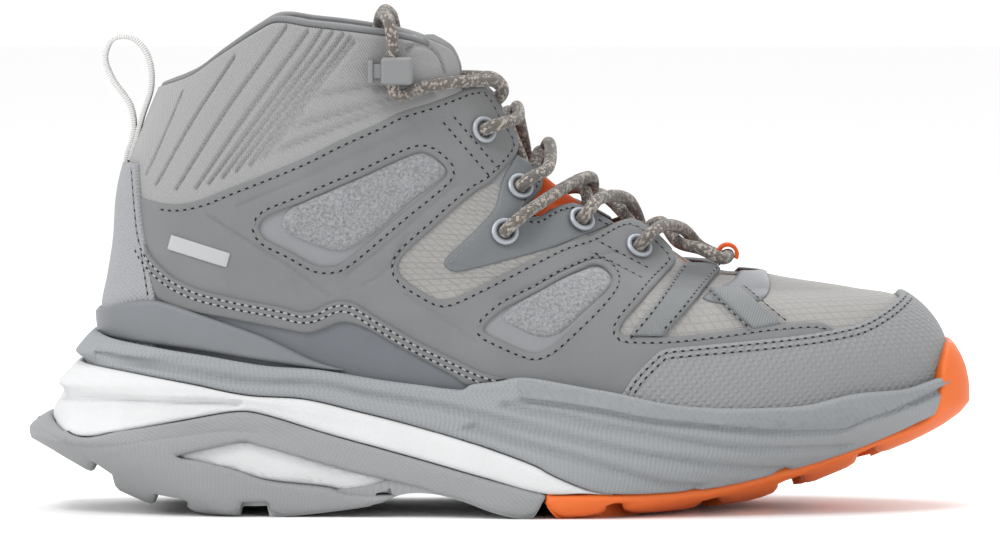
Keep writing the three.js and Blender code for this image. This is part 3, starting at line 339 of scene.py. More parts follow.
# ------------------------------------------------------------------ meshes


def new_object(name, vertices, faces, material, body="boot", uv=None, smooth_shade=True):
    name = name.replace(" ", "_")
    vertices = np.array(vertices, float)
    vertices[:, 2] = np.maximum(vertices[:, 2], 0)  # nothing reaches below the ground
    mesh = bpy.data.meshes.new(name)
    mesh.from_pydata((vertices * MM).tolist(), [], [tuple(int(i) for i in f) for f in faces])
    if uv is not None:
        layer = mesh.uv_layers.new(name="weave")
        loops = np.zeros(len(mesh.loops), int)
        mesh.loops.foreach_get("vertex_index", loops)
        layer.data.foreach_set("uv", np.asarray(uv, float)[loops].astype(np.float32).ravel())
    mesh.materials.append(material)
    mesh.validate()
    if smooth_shade:
        mesh.shade_smooth()
    piece = bpy.data.objects.new(name, mesh)
    bpy.context.collection.objects.link(piece)
    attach(piece, body)
    return piece


def stands_for(piece, slot, *nodes):
    if nodes:
        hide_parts(*nodes)
    return piece


def sharpen(piece, degrees=40):
    """Smooth shading, with edges above an angle kept sharp."""
    mesh = bmesh.new()
    mesh.from_mesh(piece.data)
    bmesh.ops.recalc_face_normals(mesh, faces=mesh.faces)
    for edge in mesh.edges:
        edge.smooth = not (edge.is_manifold and edge.calc_face_angle(0) > math.radians(degrees))
    mesh.to_mesh(piece.data)
    mesh.free()


def inside_loop(points, loop):
    """Whether each 2-D point is inside the closed loop."""
    x, y = points[:, 0:1], points[:, 1:2]
    a, b = loop, np.roll(loop, -1, axis=0)
    crosses = (a[:, 1] > y) != (b[:, 1] > y)
    slope = (b[:, 0] - a[:, 0]) / np.where(b[:, 1] == a[:, 1], 1e-12, b[:, 1] - a[:, 1])
    return (crosses & (x < a[:, 0] + slope * (y - a[:, 1]))).sum(axis=1) % 2 == 1


def line_distance(points, line, closed=False):
    """Distance from each 2-D point to a polyline."""
    a = line if closed else line[:-1]
    b = np.roll(line, -1, axis=0) if closed else line[1:]
    best = np.full(len(points), 1e9)
    for start in range(0, len(points), 4000):
        p = points[start:start + 4000, None, :]
        d = (b - a)[None]
        t = np.clip(((p - a) * d).sum(-1) / np.maximum((d * d).sum(-1), 1e-12), 0, 1)
        gap = np.linalg.norm(p - (a + t[..., None] * d), axis=-1).min(axis=1)
        best[start:start + 4000] = gap
    return best


FINE_STEP = 1.1  # panels with a finer grid than this need no points of their own along grooves
CUT_STEP = 0.9  # between the points along an outline or a groove


def metric_uv(surface, ab):
    """Distances in millimetres along the surface: round it at mid height, and up it from there."""
    middle = float(np.median(ab[:, 1]))
    a = np.linspace(ab[:, 0].min() - 0.01, ab[:, 0].max() + 0.01, 400)
    ring = surface.point(a, np.full(400, middle))
    length = np.concatenate([[0], np.cumsum(np.linalg.norm(np.diff(ring, axis=0), axis=1))])
    across = np.interp(ab[:, 0], a, length)
    steps = 10
    rise = np.zeros(len(ab))
    before = surface.point(ab[:, 0], np.full(len(ab), middle))
    for k in range(1, steps + 1):
        here = surface.point(ab[:, 0], middle + (ab[:, 1] - middle) * k / steps)
        rise += np.linalg.norm(here - before, axis=1)
        before = here
    return np.stack([across, rise * np.sign(ab[:, 1] - middle)], axis=1)


def panel(name, surface, outline, low, high, material, holes=(), step=2.2, edge=0.7, grooves=(),
          relief=None, body="boot", edge_height=0.4, uv_turn=0.0):
    """A cut-out sheet on a surface, from offset low to offset high, with a rounded edge.

    outline and holes are closed loops of (a, b). Each groove is (line of (a, b), depth, half width).
    Where grooves meet, the deeper one counts. relief(ab, place) adds to the outer offset.
    """
    scale = surface.size
    loops = [resample(np.vstack([loop, loop[:1]]) * scale, CUT_STEP, True) for loop in [outline, *holes]]
    vertices = np.vstack(loops)
    edges = []
    start = 0
    for loop in loops:
        n = len(loop)
        edges += [(start + i, start + (i + 1) % n) for i in range(n)]
        start += n
    low_corner, high_corner = loops[0].min(axis=0), loops[0].max(axis=0)
    columns = np.arange(low_corner[0], high_corner[0], step)
    rows = np.arange(low_corner[1], high_corner[1], step * 0.87)
    fill = np.array([(x + (j % 2) * step / 2, y) for j, y in enumerate(rows) for x in columns])
    gap = np.min([line_distance(fill, loop, True) for loop in loops], axis=0)
    fill = fill[gap > max(edge, step * 0.5)]
    extra = [fill]
    for loop in loops:
        tangent = np.roll(loop, -1, axis=0) - np.roll(loop, 1, axis=0)
        tangent /= np.maximum(np.linalg.norm(tangent, axis=1, keepdims=True), 1e-9)
        left = np.stack([-tangent[:, 1], tangent[:, 0]], axis=1)
        for inset in (0.3 * edge, edge):
            for way in (-1, 1):
                ring = loop + left * inset * way
                near = np.min([line_distance(ring, other, True) for other in loops], axis=0)
                extra.append(ring[near > inset * 0.9])
    groove_lines = []
    for line, depth, half in grooves:
        metric = resample(line * scale, CUT_STEP)
        groove_lines.append((metric, depth, half))
        if step > FINE_STEP:
            for across in (-1, -0.45, 0, 0.45, 1):
                extra.append(shifted(metric, across * half))
    points = np.vstack(extra)
    keep = inside_loop(points, loops[0])
    for hole in loops[1:]:
        keep &= ~inside_loop(points, hole)
    gap = np.min([line_distance(points, loop, True) for loop in loops], axis=0)
    points = points[keep & (gap > 0.2 * edge)]
    flat = np.vstack([vertices, points])
    result = delaunay_2d_cdt([Vector(p) for p in flat], edges, [], 0, 1e-4)
    flat = np.array([tuple(p) for p in result[0]])
    faces = np.array([f for f in result[2] if len(f) == 3])
    middle = flat[faces].mean(axis=1)
    keep = inside_loop(middle, loops[0])
    for hole in loops[1:]:
        keep &= ~inside_loop(middle, hole)
    faces = faces[keep]
    a, b = flat[faces[:, 1]] - flat[faces[:, 0]], flat[faces[:, 2]] - flat[faces[:, 0]]
    wrong = a[:, 0] * b[:, 1] - a[:, 1] * b[:, 0] < 0
    faces[wrong] = faces[wrong][:, ::-1]
    used = np.unique(faces)
    renumber = np.full(len(flat), -1)
    renumber[used] = np.arange(len(used))
    flat, faces = flat[used], renumber[faces]

    gap = np.min([line_distance(flat, loop, True) for loop in loops], axis=0)
    ab = flat / scale
    place = surface.point(ab[:, 0], ab[:, 1])
    normal = surface.normal(ab[:, 0], ab[:, 1])
    low_offset = low(ab, place) if callable(low) else np.full(len(ab), float(low))
    high_offset = high(ab, place) if callable(high) else np.full(len(ab), float(high))
    if relief is not None:
        high_offset = high_offset + relief(ab, place)
    cut = np.zeros(len(flat))
    for line, depth, half in groove_lines:
        d = np.clip(line_distance(flat, line) / half, 0, 1)
        this = depth * (1 - smooth(d) ** 0.8)
        cut = np.where(np.abs(this) > np.abs(cut), this, cut)
    high_offset = high_offset - cut
    roundness = edge_height + (1 - edge_height) * np.sqrt(1 - (1 - np.clip(gap / edge, 0, 1)) ** 2)
    top = place + normal * (low_offset + (high_offset - low_offset) * roundness)[:, None]
    uv = metric_uv(surface, ab)
    if uv_turn:
        cosine, sine = math.cos(uv_turn), math.sin(uv_turn)
        uv = np.stack([uv[:, 0] * cosine + uv[:, 1] * sine, uv[:, 1] * cosine - uv[:, 0] * sine], axis=1)
    n = len(flat)
    bottom = place + normal * low_offset[:, None]
    pairs = dict.fromkeys((f[i], f[(i + 1) % 3]) for f in faces for i in range(3))
    rim = [pair for pair in pairs if (pair[1], pair[0]) not in pairs]
    walls = []
    for p, q in rim:
        walls += [(p, p + n, q + n), (p, q + n, q)]
    all_faces = np.vstack([faces, faces[:, ::-1] + n, np.array(walls)])
    return new_object(name, np.vstack([top, bottom]), all_faces, material, body, np.vstack([uv, uv]))


def tube_faces(rings, sides):
    """Faces between rings of points that follow each other, and one across each end."""
    faces = []
    for i in range(rings - 1):
        for j in range(sides):
            k = (j + 1) % sides
            faces.append((i * sides + j, i * sides + k, (i + 1) * sides + k, (i + 1) * sides + j))
    faces.append(tuple(range(sides))[::-1])
    faces.append(tuple((rings - 1) * sides + j for j in range(sides)))
    return faces


def sweep(name, line, normals, profile, material, body="boot"):
    """A closed profile of (side, up) points drawn along a 3-D line with a normal at each point."""
    tangent = np.gradient(line, axis=0)
    tangent /= np.linalg.norm(tangent, axis=1, keepdims=True)
    sideways = np.cross(tangent, normals)
    sideways /= np.linalg.norm(sideways, axis=1, keepdims=True)
    up = np.cross(sideways, tangent)
    profile = np.asarray(profile, float)
    m, n = len(profile), len(line)
    across = sideways[:, None, :] * profile[None, :, 0:1]
    points = line[:, None, :] + across + up[:, None, :] * profile[None, :, 1:2]
    length = np.concatenate([[0], np.cumsum(np.linalg.norm(np.diff(line, axis=0), axis=1))])
    uv = np.stack([np.repeat(length, m), np.tile(profile[:, 0], n)], axis=1)
    piece = new_object(name, points.reshape(-1, 3), tube_faces(n, m), material, body, uv)
    sharpen(piece)
    return piece


# ------------------------------------------------------------------ materials


class Paint:
    """A Principled material with short ways to add colour variation and bump."""

    def __init__(self, name, colour, roughness, **sockets):
        self.material = bpy.data.materials.new(name)
        self.material.use_nodes = True
        self.tree = self.material.node_tree
        self.shader = self.tree.nodes["Principled BSDF"]
        self.colour = tuple(PALER * (c / 255) ** 2.2 for c in colour)
        self.shader.inputs["Base Color"].default_value = (*self.colour, 1)
        self.shader.inputs["Roughness"].default_value = roughness
        for socket, value in sockets.items():
            self.shader.inputs[socket.replace("_", " ")].default_value = value
        self.bump_out = None

    def node(self, kind, **values):
        node = self.tree.nodes.new(kind)
        for key, value in values.items():
            if hasattr(node, key):
                setattr(node, key, value)
            else:
                node.inputs[key.replace("_", " ")].default_value = value
        return node

    def link(self, a, b):
        self.tree.links.new(a, b)

    def weave_uv(self, turn=0.0):
        source = self.node("ShaderNodeUVMap", uv_map="weave")
        mapping = self.node("ShaderNodeMapping")
        mapping.inputs["Rotation"].default_value = (0, 0, math.radians(turn))
        self.link(source.outputs[0], mapping.inputs[0])
        return mapping.outputs[0]

    def space(self):
        source = self.node("ShaderNodeTexCoord")
        mapping = self.node("ShaderNodeMapping")
        mapping.inputs["Scale"].default_value = (1000, 1000, 1000)
        self.link(source.outputs["Object"], mapping.inputs[0])
        return mapping.outputs[0]

    def noise(self, where, size, detail=3.0, rough=0.5):
        node = self.node("ShaderNodeTexNoise", Scale=1 / size, Detail=detail, Roughness=rough)
        self.link(where, node.inputs["Vector"])
        return node.outputs["Fac"]

    def cells(self, where, size):
        node = self.node("ShaderNodeTexVoronoi", Scale=1 / size)
        self.link(where, node.inputs["Vector"])
        return node.outputs["Distance"]

    def lines(self, where, pitch, turn=0.0):
        mapping = self.node("ShaderNodeMapping")
        mapping.inputs["Rotation"].default_value = (0, 0, math.radians(turn))
        self.link(where, mapping.inputs[0])
        node = self.node("ShaderNodeTexWave", Scale=math.pi / (10 * pitch))
        self.link(mapping.outputs[0], node.inputs["Vector"])
        return node.outputs["Fac"]

    def maths(self, operation, a, b):
        node = self.node("ShaderNodeMath", operation=operation)
        for i, value in enumerate((a, b)):
            if isinstance(value, (int, float)):
                node.inputs[i].default_value = value
            else:
                self.link(value, node.inputs[i])
        return node.outputs[0]

    def ramp(self, value, low, high):
        node = self.node("ShaderNodeMapRange")
        self.link(value, node.inputs["Value"])
        node.inputs["From Min"].default_value = low
        node.inputs["From Max"].default_value = high
        return node.outputs[0]

    def vary(self, value, dark, light):
        """Base colour times a factor between dark and light."""
        node = self.node("ShaderNodeMix", data_type="RGBA")
        self.link(value, node.inputs[0])
        colours = [s for s in node.inputs if s.type == "RGBA"]
        colours[0].default_value = (*[min(1, c * dark) for c in self.colour], 1)
        colours[1].default_value = (*[min(1, c * light) for c in self.colour], 1)
        out = [s for s in node.outputs if s.type == "RGBA"][0]
        self.link(out, self.shader.inputs["Base Color"])

    def bump(self, height, depth):
        """Adds a height map whose full range is depth millimetres."""
        node = self.node("ShaderNodeBump", Strength=1, Distance=depth * MM)
        self.link(height, node.inputs["Height"])
        if self.bump_out is not None:
            self.link(self.bump_out, node.inputs["Normal"])
        self.bump_out = node.outputs[0]
        self.link(self.bump_out, self.shader.inputs["Normal"])


# ------------------------------------------------------------------ what each material is


def cloth_like(name, colour, roughness, grain, depth, low=0.93, high=1.06, sheen=0.15):
    """Paint with a fine grain of one size in millimetres."""
    paint = Paint(name, colour, roughness, Sheen_Weight=sheen, Specular_IOR_Level=0.3)
    where = paint.space()
    fine = paint.noise(where, grain)
    broad = paint.noise(where, 14)
    paint.vary(paint.ramp(broad, 0.3, 0.7), low, high)
    paint.bump(fine, depth)
    return paint


def make_materials():
    table = {}
    table["nubuck"] = cloth_like("nubuck", (134, 135, 136), 0.85, 0.5, 0.1, 0.95, 1.04)
    table["foxing"] = cloth_like("foxing nubuck", (130, 131, 132), 0.85, 0.5, 0.1, 0.95, 1.04)
    table["microfibre"] = cloth_like("microfibre", (150, 152, 155), 0.7, 0.3, 0.06, 0.97, 1.03)
    table["rand"] = cloth_like("rand", (119, 123, 129), 0.55, 0.6, 0.05, 0.96, 1.03, 0)
    table["tpu"] = cloth_like("tpu", (133, 136, 140), 0.45, 0.4, 0.04, 0.97, 1.03, 0)
    table["eyestay"] = cloth_like("eyestay tpu", (121, 125, 128), 0.5, 0.35, 0.05, 0.96, 1.04, 0)
    table["lock"] = cloth_like("lock plastic", (144, 145, 146), 0.4, 0.3, 0.02, 0.98, 1.02, 0)
    table["tag"] = cloth_like("label", (194, 196, 198), 0.55, 0.3, 0.02, 0.98, 1.02, 0)
    table["board"] = cloth_like("fibre board", (200, 196, 186), 0.9, 0.8, 0.1)
    table["foam"] = cloth_like("open foam", (190, 190, 185), 0.95, 0.7, 0.2)
    table["lining"] = cloth_like("lining mesh", (120, 122, 125), 0.95, 0.6, 0.25, 0.85, 1.1, 0.4)
    table["orange_cloth"] = cloth_like("orange cloth", (246, 98, 34), 0.9, 0.45, 0.2, 0.9, 1.08, 0.3)
    table["thread"] = cloth_like("grey thread", (140, 141, 143), 0.8, 0.25, 0.08)
    table["pale_thread"] = cloth_like("pale thread", (176, 178, 180), 0.8, 0.25, 0.08)
    # The hole paint is painted shade: near-black, for the shadow down in each stitch hole.
    table["hole"] = cloth_like("needle hole shade", (34, 34, 35), 0.95, 0.3, 0.02, 1, 1, 0)

    felt = Paint("felt", (163, 165, 168), 0.98, Sheen_Weight=0.4)
    where = felt.space()
    fibres = felt.maths("ADD", felt.noise(where, 0.35, 6, 0.7), felt.noise(where, 0.9, 4, 0.6))
    felt.vary(felt.ramp(fibres, 0.8, 1.2), 0.58, 1.28)
    felt.bump(fibres, 0.4)
    table["felt"] = felt

    ripstop = Paint("ripstop", (174, 172, 169), 0.8, Sheen_Weight=0.15)
    where = ripstop.weave_uv()
    weave = ripstop.maths("MULTIPLY", ripstop.lines(where, 0.5), ripstop.lines(where, 0.5, 90))
    cords = [ripstop.ramp(ripstop.lines(where, 3.2, turn), 0.9, 1) for turn in (0, 90)]
    grid = ripstop.maths("MAXIMUM", *cords)
    ripstop.vary(ripstop.maths("SUBTRACT", ripstop.noise(where, 1.2), grid), 0.9, 1.08)
    ripstop.bump(weave, 0.08)
    ripstop.bump(grid, 0.12)
    table["ripstop"] = ripstop

    toe = Paint("toe weave", (166, 168, 170), 0.85, Sheen_Weight=0.1)
    where = toe.weave_uv()
    dots = toe.maths("MULTIPLY", toe.lines(where, 2.1, 45), toe.lines(where, 2.1, -45))
    fine = toe.lines(where, 0.45, 90)
    toe.vary(dots, 0.86, 1.04)
    toe.bump(fine, 0.08)
    toe.bump(dots, 0.5)
    table["toe_weave"] = toe

    knit = Paint("collar knit", (167, 167, 167), 0.92, Sheen_Weight=0.2)
    where = knit.weave_uv()
    ribs = knit.lines(where, 0.95, -30)
    knit.vary(knit.maths("ADD", ribs, knit.noise(where, 0.5)), 0.92, 1.03)
    knit.bump(ribs, 0.16)
    knit.bump(knit.noise(where, 0.35), 0.12)
    table["collar_cloth"] = knit

    woven = Paint("woven tape", (180, 182, 186), 0.85, Sheen_Weight=0.1)
    where = woven.weave_uv()
    twill = woven.maths("MULTIPLY", woven.lines(where, 1.0, 38), woven.lines(where, 1.3, -52))
    woven.vary(twill, 0.8, 1.08)
    woven.bump(twill, 0.3)
    table["woven"] = woven

    for name, colour in (("webbing", (143, 147, 149)), ("webbing_light", (252, 252, 250))):
        tape = Paint(name, colour, 0.85, Sheen_Weight=0.15)
        where = tape.weave_uv()
        ribs = tape.lines(where, 0.75)
        tape.vary(ribs, 0.92, 1.05)
        tape.bump(ribs, 0.22)
        table[name] = tape

    for name, colour, grain, depth in (
        ("foam_white", (236, 237, 238), 0.8, 0.12),
        ("foam_grey", (157, 161, 164), 0.5, 0.05),
    ):
        foam = Paint(name, colour, 0.7, Specular_IOR_Level=0.35)
        where = foam.space()
        foam.vary(foam.ramp(foam.noise(where, 10), 0.3, 0.7), 0.97, 1.02)
        foam.bump(foam.cells(where, grain), depth)
        table[name] = foam

    hatched = Paint("hatched foam", (164, 168, 171), 0.7, Specular_IOR_Level=0.35)
    where = hatched.weave_uv()
    hatch = hatched.maths("MAXIMUM", hatched.lines(where, 1.3, 40), hatched.lines(where, 1.3, -35))
    hatched.vary(hatch, 0.93, 1.03)
    hatched.bump(hatch, 0.14)
    table["hatched"] = hatched

    for name, colour, pitch, roughness in (
        ("rubber_grey", (163, 165, 166), 1.1, 0.65),
        ("rubber_orange", (255, 120, 44), 1.1, 0.5),
    ):
        rubber = Paint(name, colour, roughness, Specular_IOR_Level=0.4)
        where = rubber.weave_uv()
        hatch = rubber.maths("MAXIMUM", rubber.lines(where, pitch, 35), rubber.lines(where, pitch, -55))
        rubber.vary(hatch, 0.95, 1.02)
        if name == "rubber_grey":
            rubber.bump(hatch, 0.1)
        else:
            rubber.bump(rubber.noise(rubber.space(), 0.7), 0.05)
        table[name] = rubber

    lace = Paint("lace", (126, 119, 112), 0.9, Sheen_Weight=0.3)
    where = lace.weave_uv(45)
    strand = lace.node("ShaderNodeTexVoronoi", Scale=1 / 0.85, Randomness=0.2)
    lace.link(where, strand.inputs["Vector"])
    split = lace.node("ShaderNodeSeparateColor")
    lace.link(strand.outputs["Color"], split.inputs[0])
    lace.vary(lace.ramp(split.outputs[0], 0.55, 0.85), 0.8, 2.6)
    lace.bump(lace.ramp(strand.outputs["Distance"], 0.6, 0.0), 0.3)
    table["lace"] = lace

    eyelet = Paint("eyelet", (184, 190, 197), 0.38, Metallic=0.55)
    table["eyelet"] = eyelet
    steel = Paint("spring steel", (175, 178, 182), 0.3, Metallic=1.0)
    table["steel"] = steel
    return {name: paint.material for name, paint in table.items()}


# ------------------------------------------------------------------ outlines in side view: x, z

FAR_BACK = -131
QUARTER_TOP = [
    [FAR_BACK, 104.5], [-118.1, 104.2], [-112.8, 102.9], [-106.9, 102.4], [-99.5, 103.7], [-88.8, 108],
    [-78.2, 112.2], [-63.9, 118.3], [-53.3, 123.7], [-40.6, 129.4], [-33.3, 133], [-23.3, 136],
    [-16.7, 138.3],
    [-11.7, 140.2], [-8.3, 140.8], [-6, 140.7],
]
QUARTER_FRONT = [
    [-6, 140.7], [-3.7, 138.7], [-1.7, 136], [0.7, 131], [3.3, 127], [5.3, 123.7], [5.8, 121], [5, 118.3],
    [2, 114.7], [-3.7, 109], [-7.3, 107], [-15, 101], [-21.7, 95], [-30, 87.7], [-33, 84.1], [-33.3, 80.8],
    [-30.8, 77.5], [-26.7, 74.7], [-21.4, 71.7], [-19, 71], [-15.7, 71.6], [0, 79.1], [10, 84], [20.8, 89],
    [30, 91.7], [39, 95.7], [42.7, 96.2], [46.7, 94.7], [50, 92.3], [53.3, 89.3], [56.3, 86.3], [58, 84],
    [57.3, 81.7], [54.3, 78.4], [49.3, 73.7], [45, 69], [40.7, 64.3], [39.3, 61.3], [40.3, 60],
    [43.3, 59.5],
    [55, 59.4], [73.3, 61], [92, 62.9], [106.7, 62.9], [109.9, 60.7],
]
QUARTER_FOOT = [
    [109.9, 60.7], [104, 54], [84, 50], [60, 48], [48, 43], [38, 35], [20, 35], [2, 37], [-8, 44],
    [-28, 55.5], [-45, 65], [-50, 67], [-58, 66], [-65, 64.5], [-84, 68.5], [-100, 72], [-108, 76],
    [-116, 85],
    [FAR_BACK, 90],
]
UPPER_WINDOW = [
    [-79.2, 94.6], [-78.6, 96.6], [-76.7, 98.5], [-66.7, 102.7], [-46.9, 111.2], [-27, 119.7], [-24, 119.3],
    [-21.4, 117.8], [-17.6, 113.7], [-17.8, 112], [-34, 98.2], [-51.3, 83.8], [-53.3, 82.7], [-55.7, 82.2],
    [-60.1, 82.4], [-69, 87.1], [-77.8, 91.8],
]
UPPER_FELT = [
    [-71.8, 96.3], [-69, 101.4], [-66, 102.8], [-46.9, 111], [-27, 119.3], [-24.2, 118.9], [-21.5, 117.3],
    [-17.9, 113.4], [-30, 103.2], [-43.5, 91.8], [-51.3, 87.7], [-56.8, 88.2], [-70.8, 94.2],
]
LOWER_WINDOW = [
    [-5.3, 61.3], [-4.7, 63], [-2.3, 65.3], [1, 68], [6.7, 71], [13.3, 74.3], [20, 78],
    [26.7, 80.7], [30, 82],
    [32.3, 81.8], [34.3, 81], [36.3, 79], [37, 77.7], [36.7, 75.7], [35, 73.3], [30, 68], [25, 63.3],
    [20.7, 59.3], [17.7, 56.7], [15, 55], [11.7, 54], [8.3, 54.7], [3.3, 56.7], [-1.7, 59], [-4.3, 60.3],
]
LOWER_FELT = [
    [0.7, 65.7], [2.3, 67.9], [7, 70.9], [20, 77.7], [27, 80.4], [32.1, 81.2], [36.2, 78.5], [36, 75.7],
    [28, 68.1], [20, 61], [17.3, 59.8], [14.3, 59.3], [10, 60.3], [5, 62.7], [1.6, 64.4],
]
MIDDLE_CLOTH = [
    [-36, 83], [-34, 78], [-27, 73], [-19, 69.5], [0, 77], [20, 86.5], [30, 90], [22, 96], [8, 97],
    [0, 108],
    [-3, 109.6], [-20, 98],
]
EYESTAY_FRONT = [
    [5.2, 118.2], [10.3, 114.1], [13.2, 111.3], [14, 109.7], [13.3, 106.7], [8, 100.3], [9, 98.6],
    [11.7, 97.7],
    [16.7, 100.3], [20, 101.5], [24, 102], [30, 99.3], [35.7, 96.3], [37.5, 95.2],
]
EYESTAY_BACK = [
    [37.5, 95.2], [24, 90.5], [19, 88.6], [-2.4, 83], [-9, 81.4], [-14, 80.5], [-16.7, 81], [-18.5, 82.9],
    [-18.1, 84.5], [-10, 92.3], [-3.5, 98.9], [-1.3, 102.2], [-0.7, 105], [1, 111], [5.2, 118.2],
]
FOXING_TOP = [
    [-116.5, 89.7], [-114.3, 85.3], [-111.7, 82.3], [-107, 78.3], [-99.3, 74.7], [-91, 72.6], [-83.7, 71],
    [-71.7, 68.7], [-65, 67], [-60.7, 67.7], [-57.7, 69.3], [-53.5, 70.6], [-49.1, 70.3], [-45, 68.3],
    [-40.8, 65.6], [-33.3, 61.3], [-28.2, 58.3], [-16.7, 52.7], [-5, 47.4], [2.3, 45.6],
]
FOXING_FOOT = [
    [2.3, 45.6], [-10.5, 43.4], [-14.7, 46.1], [-33.3, 56.1], [-45.8, 62.7], [-52.2, 63.8], [-58.5, 61.5],
    [-63.1, 60.3], [-71.7, 61.8], [-89, 65.2], [-102.1, 67.8], [-111.9, 71.6], [-113.5, 75],
]
TOE_CAP_TOP = [
    [38.5, 38.5], [40.3, 41.2], [44, 46.7], [49.3, 52.1], [51.7, 54.3], [53.7, 55.3], [63.3, 56.3],
    [71.6, 56.9],
    [86.7, 58], [100, 59.2], [108.6, 60.3], [117.9, 62.1], [124, 64.6], [129, 67.4], [131.5, 69.1],
    [133.5, 70.6],
]
REAR_STRAP = [
    [[42.6, 59.8], [53.4, 59.5]],
    [[53.4, 59.5], [63, 69.4], [72.9, 79.3]],
    [[72.9, 79.3], [69, 80.8], [60.8, 81.6]],
    [[60.8, 81.6], [52, 70.6], [42.6, 59.8]],
]
FRONT_STRAP = [[[68.7, 73.8], [79.3, 73.1]], [[79.3, 73.1], [92.7, 62.7]], [[92.7, 62.7], [83.1, 61.1]],
               [[83.1, 61.1], [68.7, 73.8]]]
THROAT_PATCH_EDGE = [[79.5, 79.0], [76.8, 76.2], [68, 72.6], [66.8, 71.4], [70, 70.2], [78, 69.4],
                     [84.3, 69.9], [88.2, 71.8], [89.5, 75], [88.6, 78.2]]
HEEL_CLIP_TOP = [[-133, 66.2], [-128, 67.6], [-121.7, 69.8], [-114.1, 70.9], [-109, 70.1], [-96.3, 65.9],
                 [-77.1, 58.9], [-60, 50.9], [-50.5, 48.2]]
HEEL_CLIP_FOOT = [[-50.5, 48.2], [-54.5, 48.1], [-77.4, 51.3], [-100.3, 55], [-123.3, 57.9], [-133, 60]]
TAG_OUTLINE = [[[-107.7, 92.3], [-88.6, 86.4]], [[-88.6, 86.4], [-89.9, 81.7]], [[-89.9, 81.7], [-109, 87.5]],
               [[-109, 87.5], [-107.7, 92.3]]]
COLLAR_FRONT_EDGE = [[-13.2, 141], [-13.2, 145.2], [-13.3, 146.7], [-14.7, 150.7], [-16.7, 153.7],
                     [-20, 156.3]]

# Grooves of the collar's quilting, from low to high.
QUILT = [
    [[-116.5, 112], [-110.5, 125], [-104.5, 139]],
    [[-113.3, 108.7], [-100, 131.7], [-87.2, 151]],
    [[-106.7, 107.2], [-90, 133.3], [-77.3, 151], [-70, 161]],
    [[-100, 107.7], [-83.3, 131.7], [-66.7, 154.3], [-63, 159.6]],
    [[-95.7, 109.3], [-78.3, 132.3], [-63.3, 152.3], [-58.3, 160]],
    [[-91.2, 111.2], [-75.5, 131.8], [-60, 152], [-54.7, 159.4]],
    [[-86.7, 113.4], [-71.8, 132.7], [-56.7, 151.5], [-51.3, 158.6]],
    [[-82, 115.6], [-69, 132.3], [-53.5, 151.3], [-49, 157.4]],
    [[-77.7, 118], [-66.7, 132.3], [-51.7, 151], [-47.7, 156]],
    [[-74.5, 120.8], [-64.5, 133.3]],
    [[-63.3, 136.4], [-60.5, 138], [-56.7, 138.8], [-42.7, 141.2], [-35, 141.6]],
    [[-69.5, 127], [-56.7, 131], [-40, 136.2], [-29, 140.4]],
    [[-79, 117.6], [-66.7, 122.5], [-51.7, 128.4], [-33.3, 135.4], [-22, 139.6]],
    [[-31, 153.2], [-28.5, 154.8], [-23.3, 154], [-20.3, 151], [-18.6, 146]],
]


def smooth_run(run):
    """A side view run in even steps: a curve, or a straight line where it has only two points."""
    return spline(run) if len(run) > 2 else resample(np.array(run, float), 1.0)


def outline(*runs):
    """A closed side view loop of smooth runs that meet at corners."""
    return np.vstack([smooth_run(run) for run in runs])


# ------------------------------------------------------------------ stitches


STITCH_FILL = 0.62  # how much of the pitch a stitch covers
STITCH_RADIUS = 0.33
STITCH_SIDES = 6


class Thread:
    """Collects stitches, and at their ends near-black dashes of painted shade for the shadow in the holes the
    needle made; each kind in one mesh.
    """

    def __init__(self):
        self.rows = {}

    def row(self, kind, line, offset, pitch):
        """Stitches along a line of (a, b) on the last at an offset, pitch apart in millimetres."""
        path = resample(LAST.at(line, offset), pitch)
        dense = LAST.point(line[:, 0], line[:, 1])
        tree = kdtree.KDTree(len(dense))
        for i, p in enumerate(dense):
            tree.insert(p, i)
        tree.balance()
        normals = LAST.normal(line[:, 0], line[:, 1])
        for p, q in zip(path[:-1], path[1:]):
            middle = (p + q) / 2
            n = normals[tree.find(middle)[1]]
            self.rows.setdefault(kind, []).append((middle, (q - p) * STITCH_FILL / 2, n, STITCH_RADIUS))
            # A near-black dash at each stitch end: painted shade for the shadow in the stitch hole.
            self.rows.setdefault("hole", []).append((q, (q - p) * 0.26, n, STITCH_RADIUS * 0.95))

    def build(self, name, kind, material):
        """Capsules flattened along the normal."""
        sides = STITCH_SIDES
        vertices, faces = [], []
        for middle, half, n, radius in self.rows.get(kind, []):
            along_ = half / np.linalg.norm(half)
            across = np.cross(n, along_)
            start = len(vertices)
            # Hole dashes lie almost flat on the surface, a thin sheet of painted shade.
            flat = 0.9 if kind != "hole" else 0.25
            stations = [(-1, 0.35), (-0.7, 0.95), (0, 1.0), (0.7, 0.95), (1, 0.35)]
            for t, size in stations:
                for k in range(sides):
                    angle = 2 * math.pi * k / sides
                    vertices.append(
                        middle + half * t + across * radius * size * math.cos(angle)
                        + n * radius * size * flat * math.sin(angle)
                    )
            for i in range(len(stations) - 1):
                for k in range(sides):
                    m = (k + 1) % sides
                    a = start + i * sides
                    faces.append((a + k, a + m, a + sides + m, a + sides + k))
            faces.append(tuple(start + k for k in range(sides))[::-1])
            faces.append(tuple(start + 4 * sides + k for k in range(sides)))
        return new_object(name, np.array(vertices), faces, material)


# ------------------------------------------------------------------ the upper's outer layers


